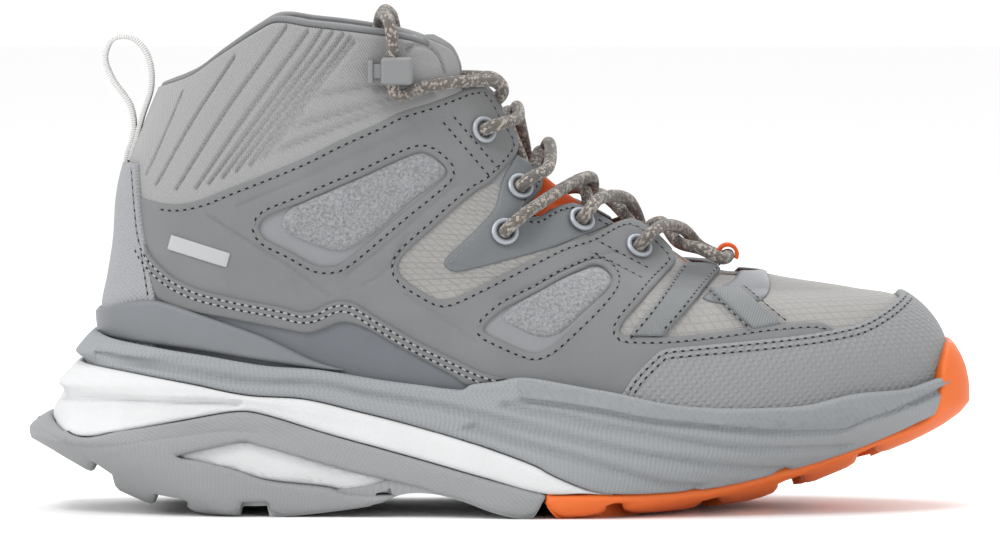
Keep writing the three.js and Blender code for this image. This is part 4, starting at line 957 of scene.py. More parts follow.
def quarter(side, skins, thread):
    name = SIDES[side]
    edge = LAST.seek(outline(QUARTER_TOP, QUARTER_FRONT, QUARTER_FOOT), side)
    windows = [LAST.seek(spline(w, closed=True), side) for w in (UPPER_WINDOW, LOWER_WINDOW)]
    creases = [
        ([[-96, 99], [-80, 89], [-66, 80], [-56, 72.5]], 0.5, 1.3),
        ([[-14, 109], [-27, 98], [-40, 87], [-50, 79.5]], 0.45, 1.2),
        ([[-45, 76], [-38, 80], [-30, 93]], 0.35, 1.2),
        ([[-86, 102], [-66, 110.5], [-46, 119], [-27, 127.5]], 0.45, 1.4),
        ([[-8, 58], [-20, 66], [-31, 73]], 0.4, 1.2),
        ([[39, 86], [28, 83.5], [12, 76.5], [0, 71]], 0.35, 1.2),
    ]
    grooves = [(LAST.seek(spline(points), side), depth, half) for points, depth, half in creases]
    piece = panel(
        f"quarter {name}", LAST, edge, 0, 1.3, skins["nubuck"], windows, step=2.4, edge=1.0, grooves=grooves
    )
    stands_for(piece, "nubuck", f"quarter_{name}")
    for points, distance in ((QUARTER_TOP[2:], -2.2), (QUARTER_FRONT, -2.0)):
        line = shifted(spline(points), distance)
        thread.row("thread", LAST.seek(line, side), 1.3, 2.8)
    for points in (UPPER_WINDOW, LOWER_WINDOW):
        line = spline(points + [points[0]])
        thread.row("thread", LAST.seek(shifted(line, outward(line) * 2.1), side), 1.3, 2.8)
    for start, end in (([-20.5, 131], [-4.5, 112]), ([-17, 132.6], [-1.4, 114]), ([29, 86.6], [46, 77.4]),
                       ([31, 90], [48, 80.6])):
        thread.row("thread", LAST.seek(smooth_run([start, end]), side), 1.3, 2.8)


def outward(line):
    """+1 when moving the closed line to its left moves it outwards, else -1."""
    area = np.sum(line[:-1, 0] * line[1:, 1] - line[1:, 0] * line[:-1, 1])
    return -1 if area > 0 else 1


def felts(side, skins):
    name = SIDES[side]
    for label, points in (("upper", UPPER_FELT), ("lower", LOWER_FELT)):
        loop = LAST.seek(spline(points, closed=True), side)
        piece = panel(f"felt {label} {name}", LAST, loop, 0, 1.25, skins["felt"], step=2, edge=2.4,
                      edge_height=0.25)
        stands_for(piece, "felt", f"felt_{label}_{name}")


def eyestay(side, skins, thread):
    name = SIDES[side]
    edge = LAST.seek(outline(EYESTAY_FRONT, EYESTAY_BACK), side)
    ridge = LAST.seek(spline([[-13, 83.5], [-4, 92], [2, 99.5], [4.5, 106], [7, 112]]), side)
    piece = panel(
        f"eyestay {name}", LAST, edge, 0, 1.05, skins["eyestay"], step=1.8, edge=0.9,
        grooves=[(ridge, -0.55, 4.5)],
    )
    stands_for(piece, "tpu", f"eyestay_{name}")
    front = spline(EYESTAY_FRONT[1:-1])
    thread.row("thread", LAST.seek(shifted(front, -1.8), side), 1.15, 2.6)
    arm = spline(EYESTAY_BACK[7:-2])
    thread.row("thread", LAST.seek(shifted(arm, -1.8), side), 1.1, 2.6)


def foxing(side, skins, thread):
    name = SIDES[side]
    edge = LAST.seek(outline(FOXING_TOP, FOXING_FOOT, [FOXING_FOOT[-1], FOXING_TOP[0]]), side)
    piece = panel(f"foxing {name}", LAST, edge, 1.3, 2.6, skins["foxing"], step=2, edge=0.9)
    stands_for(piece, "nubuck", f"foxing_{name}")
    top = spline(FOXING_TOP)
    for inset in (-1.5, -3.4):
        thread.row("pale_thread", LAST.seek(shifted(top, inset), side), 2.62, 2.6)


def rand(side, skins):
    name = SIDES[side]
    top = [[x, z - 0.5] for x, z in QUARTER_FOOT[7:]]
    foot = [[FAR_BACK, 50], [-100, 50], [-60, 46], [-10, 40], [0, 38]]
    edge = LAST.seek(outline(top, foot), side)
    piece = panel(f"rand {name}", LAST, edge, 0, 1.3, skins["rand"], step=3, edge=0.5)
    stands_for(piece, "rand", f"rand_{name}")


def base_sheets(skins):
    """The vamp, the sheets under the windows and the quilted collar."""
    split = LAST.seek(spline([[24, 36], [26, 48], [30, 60], [42, 74], [50, 84], [56, 86.5]]))
    throat = LAST.seek(spline([[56, 86.5], [66, 80.4], [77, 78.2], [80, 78.6]]))
    outer = np.vstack([[[split[0, 0], 0.004]], split, throat, [[0.4995, throat[-1, 1]]]])
    loop = np.vstack([outer, LAST.flip(outer, 0.5)[::-1]])
    low_edge = np.array([[a, 0.004] for a in np.linspace(1 - split[0, 0], split[0, 0], 60)])
    loop = np.vstack([loop, low_edge[1:-1]])
    crease = [[64, 74], [66.5, 68], [66, 61.5]]
    grooves = [(LAST.seek(spline(crease), side), 0.35, 1.6) for side in SIDES]
    vamp = panel("vamp", LAST, loop, -2, 0, skins["ripstop"], step=2.4, grooves=grooves)
    stands_for(vamp, "ripstop", "vamp")
    for side, name in SIDES.items():
        top = [[x, z - 6] for x, z in QUARTER_TOP]
        front = [[-6, 134.7], [0, 128], [4, 120], [10.3, 113], [12, 109.3], [11.5, 106.3], [7, 100.3],
                 [10.5, 98.4], [23, 101.6], [36, 95.8], [48, 87.5]]
        down = [[48, 87.5], [42, 74], [30, 60], [26, 48], [24, 38]]
        foot = [[24, 38], [-10, 40], [-60, 48], [FAR_BACK, 52]]
        edge = LAST.seek(outline(top, front, down, foot), side)
        piece = panel(f"underlay {name}", LAST, edge, -2, 0.1, skins["microfibre"], step=3.2)
        stands_for(piece, "microfibre", f"underlay_{name}")
        cloth = LAST.seek(spline(MIDDLE_CLOTH, closed=True), side)
        cloth = panel(f"middle cloth {name}", LAST, cloth, -1, 0.3, skins["ripstop"], step=2.6)
        stands_for(cloth, "ripstop")
    low = LAST.seek(spline([[x, z - 5] for x, z in QUARTER_TOP]))
    front = LAST.seek(spline([[-6.5, 136], [-9, 138.5], *COLLAR_FRONT_EDGE, [-24, 158]]))
    top = np.stack([np.linspace(front[-1, 0], 0.0005, 150), np.full(150, 0.978)], axis=1)
    outer = np.vstack([low, front, top])
    loop = np.vstack([outer, LAST.flip(outer, 0)[::-1]])
    grooves = [(LAST.seek(spline(points), side, 0), 1.45, 1.35) for side in SIDES for points in QUILT]

    def swell(ab, place):
        return 0.15 * smooth((ab[:, 1] - 0.7) / 0.15)

    collar = panel("collar textile", LAST, loop, -2, 0.6, skins["collar_cloth"], step=0.95, grooves=grooves,
                   relief=swell, edge=1.2)
    stands_for(collar, "collar_cloth", "collar_textile")


def overlays(skins, thread):
    edge = LAST.seek(spline(TOE_CAP_TOP))
    over = np.vstack([edge, [[0.4995, edge[-1, 1] + 0.002]]])
    low = np.array([[a, 0.003] for a in np.linspace(1 - edge[0, 0], edge[0, 0], 70)])
    loop = np.vstack([over, LAST.flip(over, 0.5)[::-1], low[1:-1]])
    toe = panel("toe cap", LAST, loop, 0, 2.5, skins["toe_weave"], step=2, edge=1.2)
    stands_for(toe, "toe_weave", "toe_cap")
    for side in SIDES:
        for inset in (-1.6, -3.4):
            thread.row("thread", LAST.seek(shifted(spline(TOE_CAP_TOP[1:]), inset), side), 2.5, 2.8)
    half = LAST.seek(spline([[-118.9, 115], [-118.2, 105], [-117, 94.4], [-115.4, 85.4], [-113.8, 77],
                             [-112.9, 72.3], [-112.6, 54]]))
    loop = np.vstack([half, LAST.flip(half, 0)[::-1]])
    backstay = panel("backstay", LAST, loop, 0, 2.6, skins["woven"], step=2, edge=0.9)
    stands_for(backstay, "woven", "backstay")
    seam = shifted(spline([[-118.6, 114], [-117, 94.4], [-115.4, 85.4], [-113.6, 73]]), -1.4)
    for side in SIDES:
        thread.row("thread", LAST.seek(seam, side, 0), 2.6, 2.6)
    for side, name in SIDES.items():
        for label, runs in (("rear", REAR_STRAP), ("front", FRONT_STRAP)):
            loop = LAST.seek(outline(*runs), side)
            strap = panel(f"strap {label} {name}", LAST, loop, 0.3, 1.9, skins["webbing"], step=2, edge=0.6,
                          uv_turn=math.radians(45 if label == "rear" else -42))
            stands_for(strap, "webbing", f"strap_{label}_{name}")
            for run in (runs[1], runs[3]):
                thread.row("thread", LAST.seek(shifted(smooth_run(run), 1.0), side), 1.9, 2.6)
    half = LAST.seek(spline(THROAT_PATCH_EDGE))
    half = half[: np.argmax(half[:, 0]) + 1] if half[:, 0].max() > 0.49 else half
    patch_loop = np.vstack([half, LAST.flip(half, 0.5)[::-1]])
    patch = panel("throat patch", LAST, patch_loop, 0, 0.9, skins["tpu"], step=1.6, edge=1.0)
    stands_for(patch, "tpu", "throat_patch")
    top = LAST.seek(spline(HEEL_CLIP_TOP))[::-1]
    foot = LAST.seek(spline(HEEL_CLIP_FOOT))
    loop = np.vstack([LAST.flip(top, 0)[::-1], top[::-1], foot, LAST.flip(foot, 0)[::-1]])
    clip = panel("heel clip", LAST, loop, 1.5, 4.6, skins["tpu"], step=2, edge=1.7)
    stands_for(clip, "tpu", "heel_clip")
    tag = panel("label tag", LAST, LAST.seek(outline(*TAG_OUTLINE)), 1.3, 1.9, skins["tag"], step=2, edge=0.4)
    stands_for(tag, "tag", "label_tag")


# ------------------------------------------------------------------ inside the upper

PADDING = 6
LINING_DEPTH = -3.65
LINING_THICKNESS = 1.3


def padding_at(ab):
    """The collar's padding: none below half height, full depth a little above it."""
    return PADDING * smooth((ab[:, 1] - 0.5) / 0.14)


def lining_outer(ab, place):
    return LINING_DEPTH - padding_at(ab)


def lining_inner(ab, place):
    return lining_outer(ab, place) - LINING_THICKNESS


INNER_THROAT = [[-20.5, 157], [-18.5, 141], [-21, 128], [-16, 118], [-11, 104], [-9, 90], [-2, 84.5],
                [10, 84.5], [24, 86], [43, 77.5], [60, 74], [80, 68], [99, 70], [112, 73]]


def insides(skins):
    front = LAST.seek(spline(INNER_THROAT))
    top = np.stack([np.linspace(0.0005, front[0, 0], 120), np.full(120, 0.982)], axis=1)
    peak = np.array([[0.4995, front[-1, 1]]])
    outer = np.vstack([front, peak])
    low = np.stack([np.linspace(0.4995, -0.4995, 200), np.full(200, 0.03)], axis=1)
    loop = np.vstack([top, outer, low, LAST.flip(outer, 0)[::-1], LAST.flip(top, 0)[::-1]])
    lining = panel("lining", LAST, loop, lining_inner, lining_outer, skins["lining"], step=3.4, edge=0.4,
                   edge_height=1)
    stands_for(lining, "lining", "lining")
    half = LAST.seek(spline([[-17.5, 152], [-20, 156.3], [-26, 158.6]]))
    rim = np.stack([np.linspace(half[-1, 0], 0.0005, 150), np.full(150, 0.955)], axis=1)
    low = LAST.seek(spline([[FAR_BACK, 118], [-100, 118], [-60, 124], [-24, 132]]))
    side_edge = LAST.seek(spline([[-24, 132], [-19.5, 143], [-17.5, 152]]))
    outer = np.vstack([low, side_edge, half, rim])
    loop = np.vstack([outer, LAST.flip(outer, 0)[::-1]])
    inner = lambda ab, place: lining_outer(ab, place) + 0.3
    foam = panel("collar foam", LAST, loop, inner, -2.3, skins["foam"], step=4, edge=0.4, edge_height=1)
    stands_for(foam, "foam_inner", "collar_foam")
    binding(skins)


def binding(skins):
    """The rolled edge round the collar's top, down to the front of each lobe."""
    front = LAST.seek(spline([[-9, 139.5], *COLLAR_FRONT_EDGE, [-23, 157.6]]))
    over = np.stack([np.linspace(front[-1, 0], 0.0005, 200), np.full(200, 0.985)], axis=1)
    half = np.vstack([front, over])
    path = np.vstack([half, LAST.flip(half, 0)[::-1]])
    depth = -0.5 - 0.5 * padding_at(path)
    reach = -depth + 0.9
    line = LAST.at(path, depth - 0.6)
    normals = LAST.normal(path[:, 0], path[:, 1])
    tangent = np.gradient(line, axis=0)
    tangent /= np.linalg.norm(tangent, axis=1, keepdims=True)
    upward = np.cross(normals, tangent)
    m = 20
    angle = np.linspace(0, 2 * np.pi, m, endpoint=False)
    ring_out = np.sign(np.cos(angle)) * np.abs(np.cos(angle)) ** 0.8
    ring_up = np.sign(np.sin(angle)) * np.abs(np.sin(angle)) ** 0.8
    points = (
        line[:, None, :] + normals[:, None, :] * (ring_out[None, :, None] * reach[:, None, None] * 0.95)
        + upward[:, None, :] * (ring_up[None, :, None] * 1.3)
    )
    n = len(line)
    uv = np.zeros((n * m, 2))
    piece = new_object("collar binding", points.reshape(-1, 3), tube_faces(n, m), skins["nubuck"], uv=uv)
    sharpen(piece, 80)
    stands_for(piece, "nubuck", "collar_binding")


def plates(skins):
    """The footbed and the board under it, from the last's bottom edge."""

    def flat_ring(level, grow, lift, a):
        p = LAST.point(a, np.full(len(a), level))
        n = LAST.normal(a, np.full(len(a), 0.02))
        n[:, 2] = 0
        n /= np.linalg.norm(n, axis=1, keepdims=True)
        q = p + n * grow
        q[:, 2] = p[:, 2] + lift
        return q

    a = np.linspace(0, 1, 180, endpoint=False)
    rings = 12
    n = len(a)
    mirrored = (1 - a) % 1
    for name, body, skin, level, grow, low, high in (
        ("footbed", "footbed", "orange_cloth", 0.03, -7.2, 0.8, 4.5),
        ("lasting_board", "boot", "board", 0.0, 0.4, -2.4, -0.6),
    ):
        vertices, faces = [], []
        for lift, direction in ((high, 1), (low, -1)):
            edge = flat_ring(level, grow if lift == high else grow - 0.3, lift, a)
            centre = (edge + flat_ring(level, grow, lift, mirrored)) / 2
            base = len(vertices)
            for j in range(rings + 1):
                t = j / rings
                ring = centre + (edge - centre) * t
                dish = 0.9 * (t**4) - 0.4 if name == "footbed" and direction > 0 else 0
                drop = 0.7 * smooth((t - 0.94) / 0.06) if direction > 0 else 0
                ring = ring + np.array([0, 0, dish - drop])
                vertices.extend(ring)
            for j in range(rings):
                for i in range(n):
                    k = (i + 1) % n
                    near, far = base + j * n, base + (j + 1) * n
                    quad = (near + i, near + k, far + k, far + i)
                    faces.append(quad if direction < 0 else quad[::-1])
        top_rim, low_rim = rings * n, (2 * rings + 1) * n
        for i in range(n):
            k = (i + 1) % n
            faces.append((top_rim + i, top_rim + k, low_rim + k, low_rim + i))
        piece = new_object(name, np.array(vertices), faces, skins[skin], body)
        mesh = bmesh.new()
        mesh.from_mesh(piece.data)
        bmesh.ops.remove_doubles(mesh, verts=mesh.verts, dist=1e-6)
        bmesh.ops.recalc_face_normals(mesh, faces=mesh.faces)
        mesh.to_mesh(piece.data)
        mesh.free()
        stands_for(piece, skin, name)


TONGUE_TOP = -5.1
TONGUE_LOW, TONGUE_HIGH = 0.4, 0.985


def tongue(skins):
    across, rows = 44, 90
    t = np.linspace(0, 1, across + 1)
    v_levels = np.linspace(TONGUE_LOW, TONGUE_HIGH, rows + 1)
    sheets = []
    for depth in (6.6, 0):
        grid = []
        for v in v_levels:
            reach = 0.07 + 0.045 * smooth((v - TONGUE_LOW) / 0.15) - 0.035 * smooth((v - 0.82) / 0.12)
            end = smooth((TONGUE_HIGH - v) / 0.02) * 0.25 + 0.75
            u = 0.5 - reach * end * (t - 0.5) * 2
            vs = np.full(len(u), v)
            here = LAST.point(u, vs)
            side_sink = 4 * smooth((np.abs(here[:, 1]) - 2) / 10)
            sink = TONGUE_TOP - side_sink - 1.6 * (1 - smooth((v - 0.46) / 0.12))
            edge = np.abs(t - 0.5) * 2
            thin = depth * (1 - 0.6 * edge**4) * (0.45 + 0.55 * smooth((v - TONGUE_LOW) / 0.2))
            rolled = (1 - np.sqrt(1 - np.clip((v - 0.955) / 0.03, 0, 1) ** 2)) * 3
            offset = sink - thin if depth else sink - 0.3
            offset = offset + (rolled if depth else -rolled)
            grid.append(here + LAST.normal(u, vs) * offset[:, None])
        sheets.append(np.array(grid))
    m = across + 1
    points = np.concatenate([sheet.reshape(-1, 3) for sheet in sheets])
    total = m * (rows + 1)
    faces = []
    for j in range(rows):
        for i in range(across):
            a = j * m + i
            faces.append((a, a + 1, a + m + 1, a + m))
            faces.append((total + a, total + a + m, total + a + m + 1, total + a + 1))
        a = j * m
        faces.append((a, a + m, total + a + m, total + a))
        a = j * m + across
        faces.append((a, total + a, total + a + m, a + m))
    for i in range(across):
        faces.append((i, total + i, total + i + 1, i + 1))
        a = rows * m + i
        faces.append((a, a + 1, total + a + 1, total + a))
    uv = np.stack([np.tile(np.tile(t * 60, rows + 1), 2), np.tile(np.repeat(v_levels * 130, m), 2)], axis=1)
    piece = new_object("tongue", points, faces, skins["orange_cloth"], "tongue", uv)
    sharpen(piece, 75)
    stands_for(piece, "orange_cloth", "tongue")


# ------------------------------------------------------------------ the sole

CUP_TOP = [
    [-142, 52.6], [-139, 56.5], [-134.5, 60.5], [-131, 59.6], [-128, 58.7], [-115.3, 56.3], [-96.3, 53.2],
    [-77.1, 50], [-60, 48.7], [-39, 45.4], [-25.4, 43.7], [-11.8, 42.3], [-10.5, 43.7], [0, 45.3],
    [5.2, 46.4],
    [10, 46.3], [20, 44.7], [33.3, 42.3], [40.7, 41], [54.3, 38.2], [67.9, 36.8], [88.3, 36.5],
    [101.9, 37.2],
    [116.7, 40.2], [135.4, 41.6], [146.2, 44.4], [154, 46],
]
CARRIER_TOP = [
    [-139.5, 50.7], [-121.7, 47.8], [-102.7, 44.3], [-83.5, 40.4], [-64.3, 39.1], [-46, 34.9],
    [-25.4, 29.8],
    [-5, 23.7], [12, 17.5], [16.9, 14.7], [30.5, 9], [37.3, 7.9],
]
OUTSOLE_TOP = [[37.3, 7.9], [54.3, 7.9], [72, 9.2], [91.7, 13.1], [105, 16.5], [116.7, 20.4], [126, 23.9],
               [142, 30.7], [154, 36]]
HEEL_TOP = [[-149.3, 32.3], [-139.3, 26.1], [-124, 28.7], [-105, 31.7], [-86.7, 34.7], [-81.3, 34.5],
            [-54, 26.7], [-25.4, 18.9], [-5, 13.1], [14.7, 8]]
HEEL_BOTTOM = [[-156.2, 24.5], [-145, 18.3], [-135.1, 12.7], [-126.8, 7.3], [-115.3, 2.2], [-109, 0.9],
               [-102.7, 0.2], [-75.1, 0], [-52.7, 2.2], [-39, 4.7], [-32.3, 7.7], [-22, 8], [-12.5, 5.7],
               [-1.7, 1.9], [7.9, 0], [10.3, 0], [14.7, 6.7]]
HEEL_WINDOW = [[-106.1, 20], [-94, 22.9], [-84.1, 25.1], [-82.7, 24.7], [-52.7, 16.2], [-22, 8], [-35, 7.2],
               [-50.7, 7.7], [-56, 9.3], [-77.1, 12], [-86.7, 15.5], [-98, 18.6]]
TOE_BOTTOM = [[14.7, 5], [19.3, 0], [29.8, 0], [40.3, 0], [59.7, 0], [63.5, 0.4], [72.7, 1.6], [88.3, 3.5],
              [92.7, 5.2], [102.7, 8.1], [118.6, 15.1], [126.1, 18.4], [136.8, 22.6], [144.8, 26.6],
              [152.5, 31.5]]
SWOOPS = [
    [[1.7, 37.4], [6.7, 36.2], [20.3, 33.8], [33.9, 30.7], [47.5, 28.3], [67.9, 24.6], [88.3, 22.2],
     [113.3, 21.4]],
    [[-18.7, 36.6], [6.7, 30.7], [20.3, 27.3], [40.7, 22.6], [67.9, 17.8], [81.5, 15.4], [95, 14.2]],
    [[-9.8, 30.4], [6.7, 24.9], [20.3, 21.5], [40.7, 15.4], [54.3, 11.3], [66, 9.6]],
    [[7, 38.6], [16.9, 37.6], [33.9, 35.2], [47.5, 32.6], [67.9, 30.4], [88.3, 28.5], [101.9, 28],
     [113.3, 28.2], [119, 30.6], [130.7, 34.3], [140, 38], [150, 42]],
    [[-134, 53], [-110, 49.5], [-84, 45], [-60, 43.8], [-40, 40], [-18.7, 36.6]],
]
BAND_TOP = [[6, 45.6], [20, 43.7], [33.3, 41.3], [40.7, 40], [54.3, 37.2], [67.9, 35.8], [88.3, 35.5],
            [101.9, 36.2], [116.7, 39.2], [135.4, 40.6], [150, 43.6]]


def heel_band(top, bottom, to_toe=False):
    """A band round the heel, from two edges in side view; to_toe carries it on to the middle of the toe."""
    edges = []
    for points in (top, bottom):
        edge = SOLE.seek(spline(points))
        edge = np.vstack([[[0, edge[0, 1]]], edge])
        if to_toe:
            edge = np.vstack([edge, [[0.5, edge[-1, 1]]]])
        edges.append(np.vstack([SOLE.flip(edge, 0)[::-1][:-1], edge]))
    return np.vstack([edges[0], edges[1][::-1]])


RIB_PITCH = 2.4


def ribbed_band(side, skins):
    """The band of slanting ribs above the swoops, a little proud of the cup."""
    name = SIDES[side]
    upper, lower = SOLE.seek(spline(BAND_TOP)), SOLE.seek(spline(SWOOPS[3]) + [0, 0.9])
    loop = np.vstack([lower, upper[::-1]])
    if side == MEDIAL:
        loop = SOLE.flip(loop, 0.5)

    def ribs(ab, place):
        phase = (place[:, 0] + 0.75 * (place[:, 2] - 36)) / RIB_PITCH
        return 0.55 * np.abs(np.cos(np.pi * phase)) ** 0.7

    return panel(f"ribbed band {name}", SOLE, loop, -0.8, 0.15, skins["foam_grey"], step=0.62, edge=0.5,
                 relief=ribs, edge_height=0.5)


def midsole(skins):
    """The grey cup: its side wall with the swoops, and the ribbed band each side."""
    loop = heel_band(CUP_TOP, CARRIER_TOP[:-1] + OUTSOLE_TOP, to_toe=True)
    grooves = [(SOLE.seek(spline(points), side, 0), 1.9, 1.9) for side in SIDES for points in SWOOPS]
    wall = panel("midsole wall", SOLE, loop, -7, 0, skins["hatched"], step=1.0, edge=1.3, grooves=grooves,
                 edge_height=0.8)
    pieces = [wall] + [ribbed_band(side, skins) for side in SIDES]
    join(pieces, "midsole upper")
    stands_for(wall, "foam_grey", "midsole_upper")


def join(pieces, name):
    with bpy.context.temp_override(
        active_object=pieces[0], selected_objects=pieces, selected_editable_objects=pieces
    ):
        bpy.ops.object.join()
    pieces[0].name = name.replace(" ", "_")
    mesh = bmesh.new()
    mesh.from_mesh(pieces[0].data)
    bmesh.ops.remove_doubles(mesh, verts=mesh.verts, dist=2e-5)
    mesh.to_mesh(pieces[0].data)
    mesh.free()


def carrier(skins):
    """The white heel carrier, with its lip round the heel, and the filling seen through the arch."""
    top = [[x, z - 0.3] for x, z in CARRIER_TOP]
    bottom = [[x, z + 0.3] for x, z in HEEL_TOP[:-1]] + [[14.7, 8.3], [28, 8.3], [37.3, 7.7]]
    loop = heel_band(top, bottom)

    def lip(ab, place):
        fade = 1 - smooth((place[:, 0] + 110) / 90)
        height = place[:, 2] - np.interp(place[:, 0], [-147, -84, -20], [39.6, 37.8, 24])
        return fade * (0.9 * smooth(height / 1.2) - 0.5)

    folds = [
        (SOLE.seek(spline(points), side, 0), depth, 1.5)
        for side in SIDES
        for points, depth in (([[-144.5, 39], [-132, 39], [-115, 38.4], [-98, 37.8], [-86, 37.3]], 1.9),
                              ([[-141, 34.5], [-128, 35.5], [-112, 35.6], [-100, 35]], 0.4))
    ]
    piece = panel("midsole carrier", SOLE, loop, -8, 0, skins["foam_white"], step=1.05, edge=1.5, relief=lip,
                  grooves=folds, edge_height=0.85)
    arch = [[-107, 20.5], [-84, 26], [-52, 17], [-20, 8.4], [-34, 7.2], [-50, 7.2], [-56, 8.8], [-78, 11.6],
            [-88, 15]]
    parts = [piece]
    for side, name in SIDES.items():
        loop = SOLE.seek(spline(arch, closed=True), side)
        parts.append(panel(f"arch {name}", SOLE, loop, -9, -2.4, skins["foam_white"], step=2.5, edge=1.5))
    join(parts, "midsole carrier")
    stands_for(parts[0], "foam_white", "midsole_carrier")


TREAD_DEPTH = 3.8
TREAD_THICKNESS = 7
TREAD_STEP = 0.9


def tread_height(x, y, ground, channels):
    """Height of the tread: lugs reach the ground line, the channels between them are TREAD_DEPTH above it."""
    open_ = np.zeros(len(x))
    for centre, width, lean in channels:
        d = np.abs(x - centre - lean * np.abs(y) / 20)
        open_ = np.maximum(open_, 1 - smooth((d - width / 2) / 0.9))
    middle = 1 - smooth((np.abs(y) - 3.2) / 1.0)
    return ground + TREAD_DEPTH * np.maximum(open_, middle * 0.85)


def tread_plate(name, bottom, x_range, channels, material):
    """The underside, between the two sides of the wall, following the side view line of the ground."""
    line = spline(bottom)
    keep = np.concatenate([[True], np.diff(line[:, 0]) > 0.02])
    line = line[keep]
    stations = np.arange(*x_range, TREAD_STEP)
    ground = np.interp(stations, line[:, 0], line[:, 1])
    ab = SOLE.seek(np.stack([stations, ground], axis=1))
    outer = SOLE.at(ab, -0.3)[:, 1]
    inner_side = SOLE.at(SOLE.flip(ab, 0.5), -0.3)[:, 1]
    across = np.linspace(0, 1, 111)
    x = np.repeat(stations, len(across))
    y = (outer[:, None] + (inner_side - outer)[:, None] * across[None]).ravel()
    g = np.repeat(ground, len(across))
    n, m = len(stations), len(across)
    top = np.stack([x, y, tread_height(x, y, g, channels)], axis=1)
    faces = []
    for i in range(n - 1):
        for j in range(m - 1):
            a = i * m + j
            faces.append((a, a + 1, a + m + 1, a + m))
    roof = top.copy()
    roof[:, 2] = g + TREAD_THICKNESS
    total = n * m
    faces += [tuple(total + k for k in f[::-1]) for f in faces]
    for i in range(n - 1):
        a, b = i * m, (i + 1) * m
        faces.append((a, b, total + b, total + a))
        a, b = i * m + m - 1, (i + 1) * m + m - 1
        faces.append((a, total + a, total + b, b))
    for j in range(m - 1):
        faces.append((j, total + j, total + j + 1, j + 1))
        a = (n - 1) * m + j
        faces.append((a, a + 1, total + a + 1, total + a))
    points = np.vstack([top, roof])
    return new_object(name, points, faces, material, uv=points[:, :2], smooth_shade=False)


HEEL_NOTCHES = [(-131, 6.5, 0), (-109, 10, 0), (-80.5, 8, 0), (-56, 5, 8)]
TOE_NOTCHES = [(38, 4.6, 7), (68, 5, -8), (97, 8, -8), (122, 4.5, -9), (137, 3.2, -9)]


def notched(bottom, notches):
    """The side view line of the ground with the lug notches let into it."""
    line = spline(bottom, 0.5)
    rise = np.zeros(len(line))
    for x, width, height in notches:
        rise = np.maximum(rise, height * (1 - smooth((np.abs(line[:, 0] - x) - width / 2) / 1.2)))
    line[:, 1] += rise
    return line


def outsoles(skins):
    heel_line = notched(HEEL_BOTTOM, [(-131.3, 5.2, 5.5), (-108.5, 10, 5.2), (-80.5, 8.4, 5.0)])
    upper = SOLE.seek(spline(HEEL_TOP))
    lower = SOLE.seek(resample(heel_line, 0.7))
    upper = np.vstack([[[0, upper[0, 1]]], upper])
    lower = np.vstack([[[0, lower[0, 1]]], lower])
    loop = np.vstack([SOLE.flip(upper, 0)[::-1][:-1], upper, lower[::-1], SOLE.flip(lower, 0)[1:]])
    windows = [SOLE.seek(spline(HEEL_WINDOW, closed=True), side, 0) for side in SIDES]
    ledge = spline([[-152, 28], [-139, 23], [-110, 26], [-88, 28.6], [-80, 28]])
    grooves = [(SOLE.seek(ledge, side, 0), 0.3, 0.9) for side in SIDES]
    wall = panel("outsole heel", SOLE, loop, -6, 0.3, skins["rubber_grey"], windows, step=1.9, edge=1.2,
                 grooves=grooves, edge_height=0.8)
    plate = tread_plate("heel tread", HEEL_BOTTOM, (-154, 14), HEEL_NOTCHES, skins["rubber_grey"])
    join([wall, plate], "outsole heel")
    stands_for(wall, "rubber_grey", "outsole_heel")
    toe_line = notched(TOE_BOTTOM, [(37.8, 4.4, 4.7), (69.2, 4.6, 4.2), (96.6, 7, 5), (122, 4.4, 4.2)])
    upper = SOLE.seek(spline([[14.7, 7.8], [20.3, 7.8], [34, 7.6], [54.3, 7.5], [72, 8.8], [91.7, 12.8],
                              [105, 16.1], [116.7, 20.1], [126, 23.6], [142, 30.3], [144.4, 34.1]]))
    tip = SOLE.seek(spline([[144.4, 34.1], [146, 39.7], [147.5, 50], [149, 56.3]]))
    lower = SOLE.seek(resample(toe_line, 0.7))
    upper = np.vstack([upper, tip, [[0.5, tip[-1, 1]]]])
    lower = np.vstack([lower, [[0.5, lower[-1, 1]]]])
    loop = np.vstack([lower, SOLE.flip(lower, 0.5)[::-1][1:], SOLE.flip(upper, 0.5)[1:], upper[::-1][1:]])
    wall = panel("outsole forefoot", SOLE, loop, -6, 0.3, skins["rubber_orange"], step=1.9, edge=1.4,
                 edge_height=0.75)
    plate = tread_plate("toe tread", TOE_BOTTOM, (15.5, 152), TOE_NOTCHES, skins["rubber_orange"])
    join([wall, plate], "outsole forefoot")
    stands_for(wall, "rubber_orange", "outsole_forefoot")


# ------------------------------------------------------------------ lacing

LACE_RADIUS = 2.05
EYELET_PLACES = [[-6.3, 126.3], [6, 107.3], [1.3, 93], [26.3, 96], [45.3, 87]]
CROSSINGS = [0.905, 0.815, 0.73, 0.665, 0.575]
LOWER_RUN, UPPER_RUN = -1.2, 3.3
OVER_EDGE = [[2, 128], [13, 111.2], [9.5, 99.2], [31, 100.3], [52, 90.6]]
UNDER_EDGE = [None, [11.3, 112.3], [7.5, 98.8], [30.6, 100], [49.5, 91.6]]


def on_upper(place, side, offset):
    return LAST.at(LAST.seek([place], side), offset)[0]


def upper_normal(place, side):
    ab = LAST.seek([place], side)
    return LAST.normal(ab[:, 0], ab[:, 1])[0]


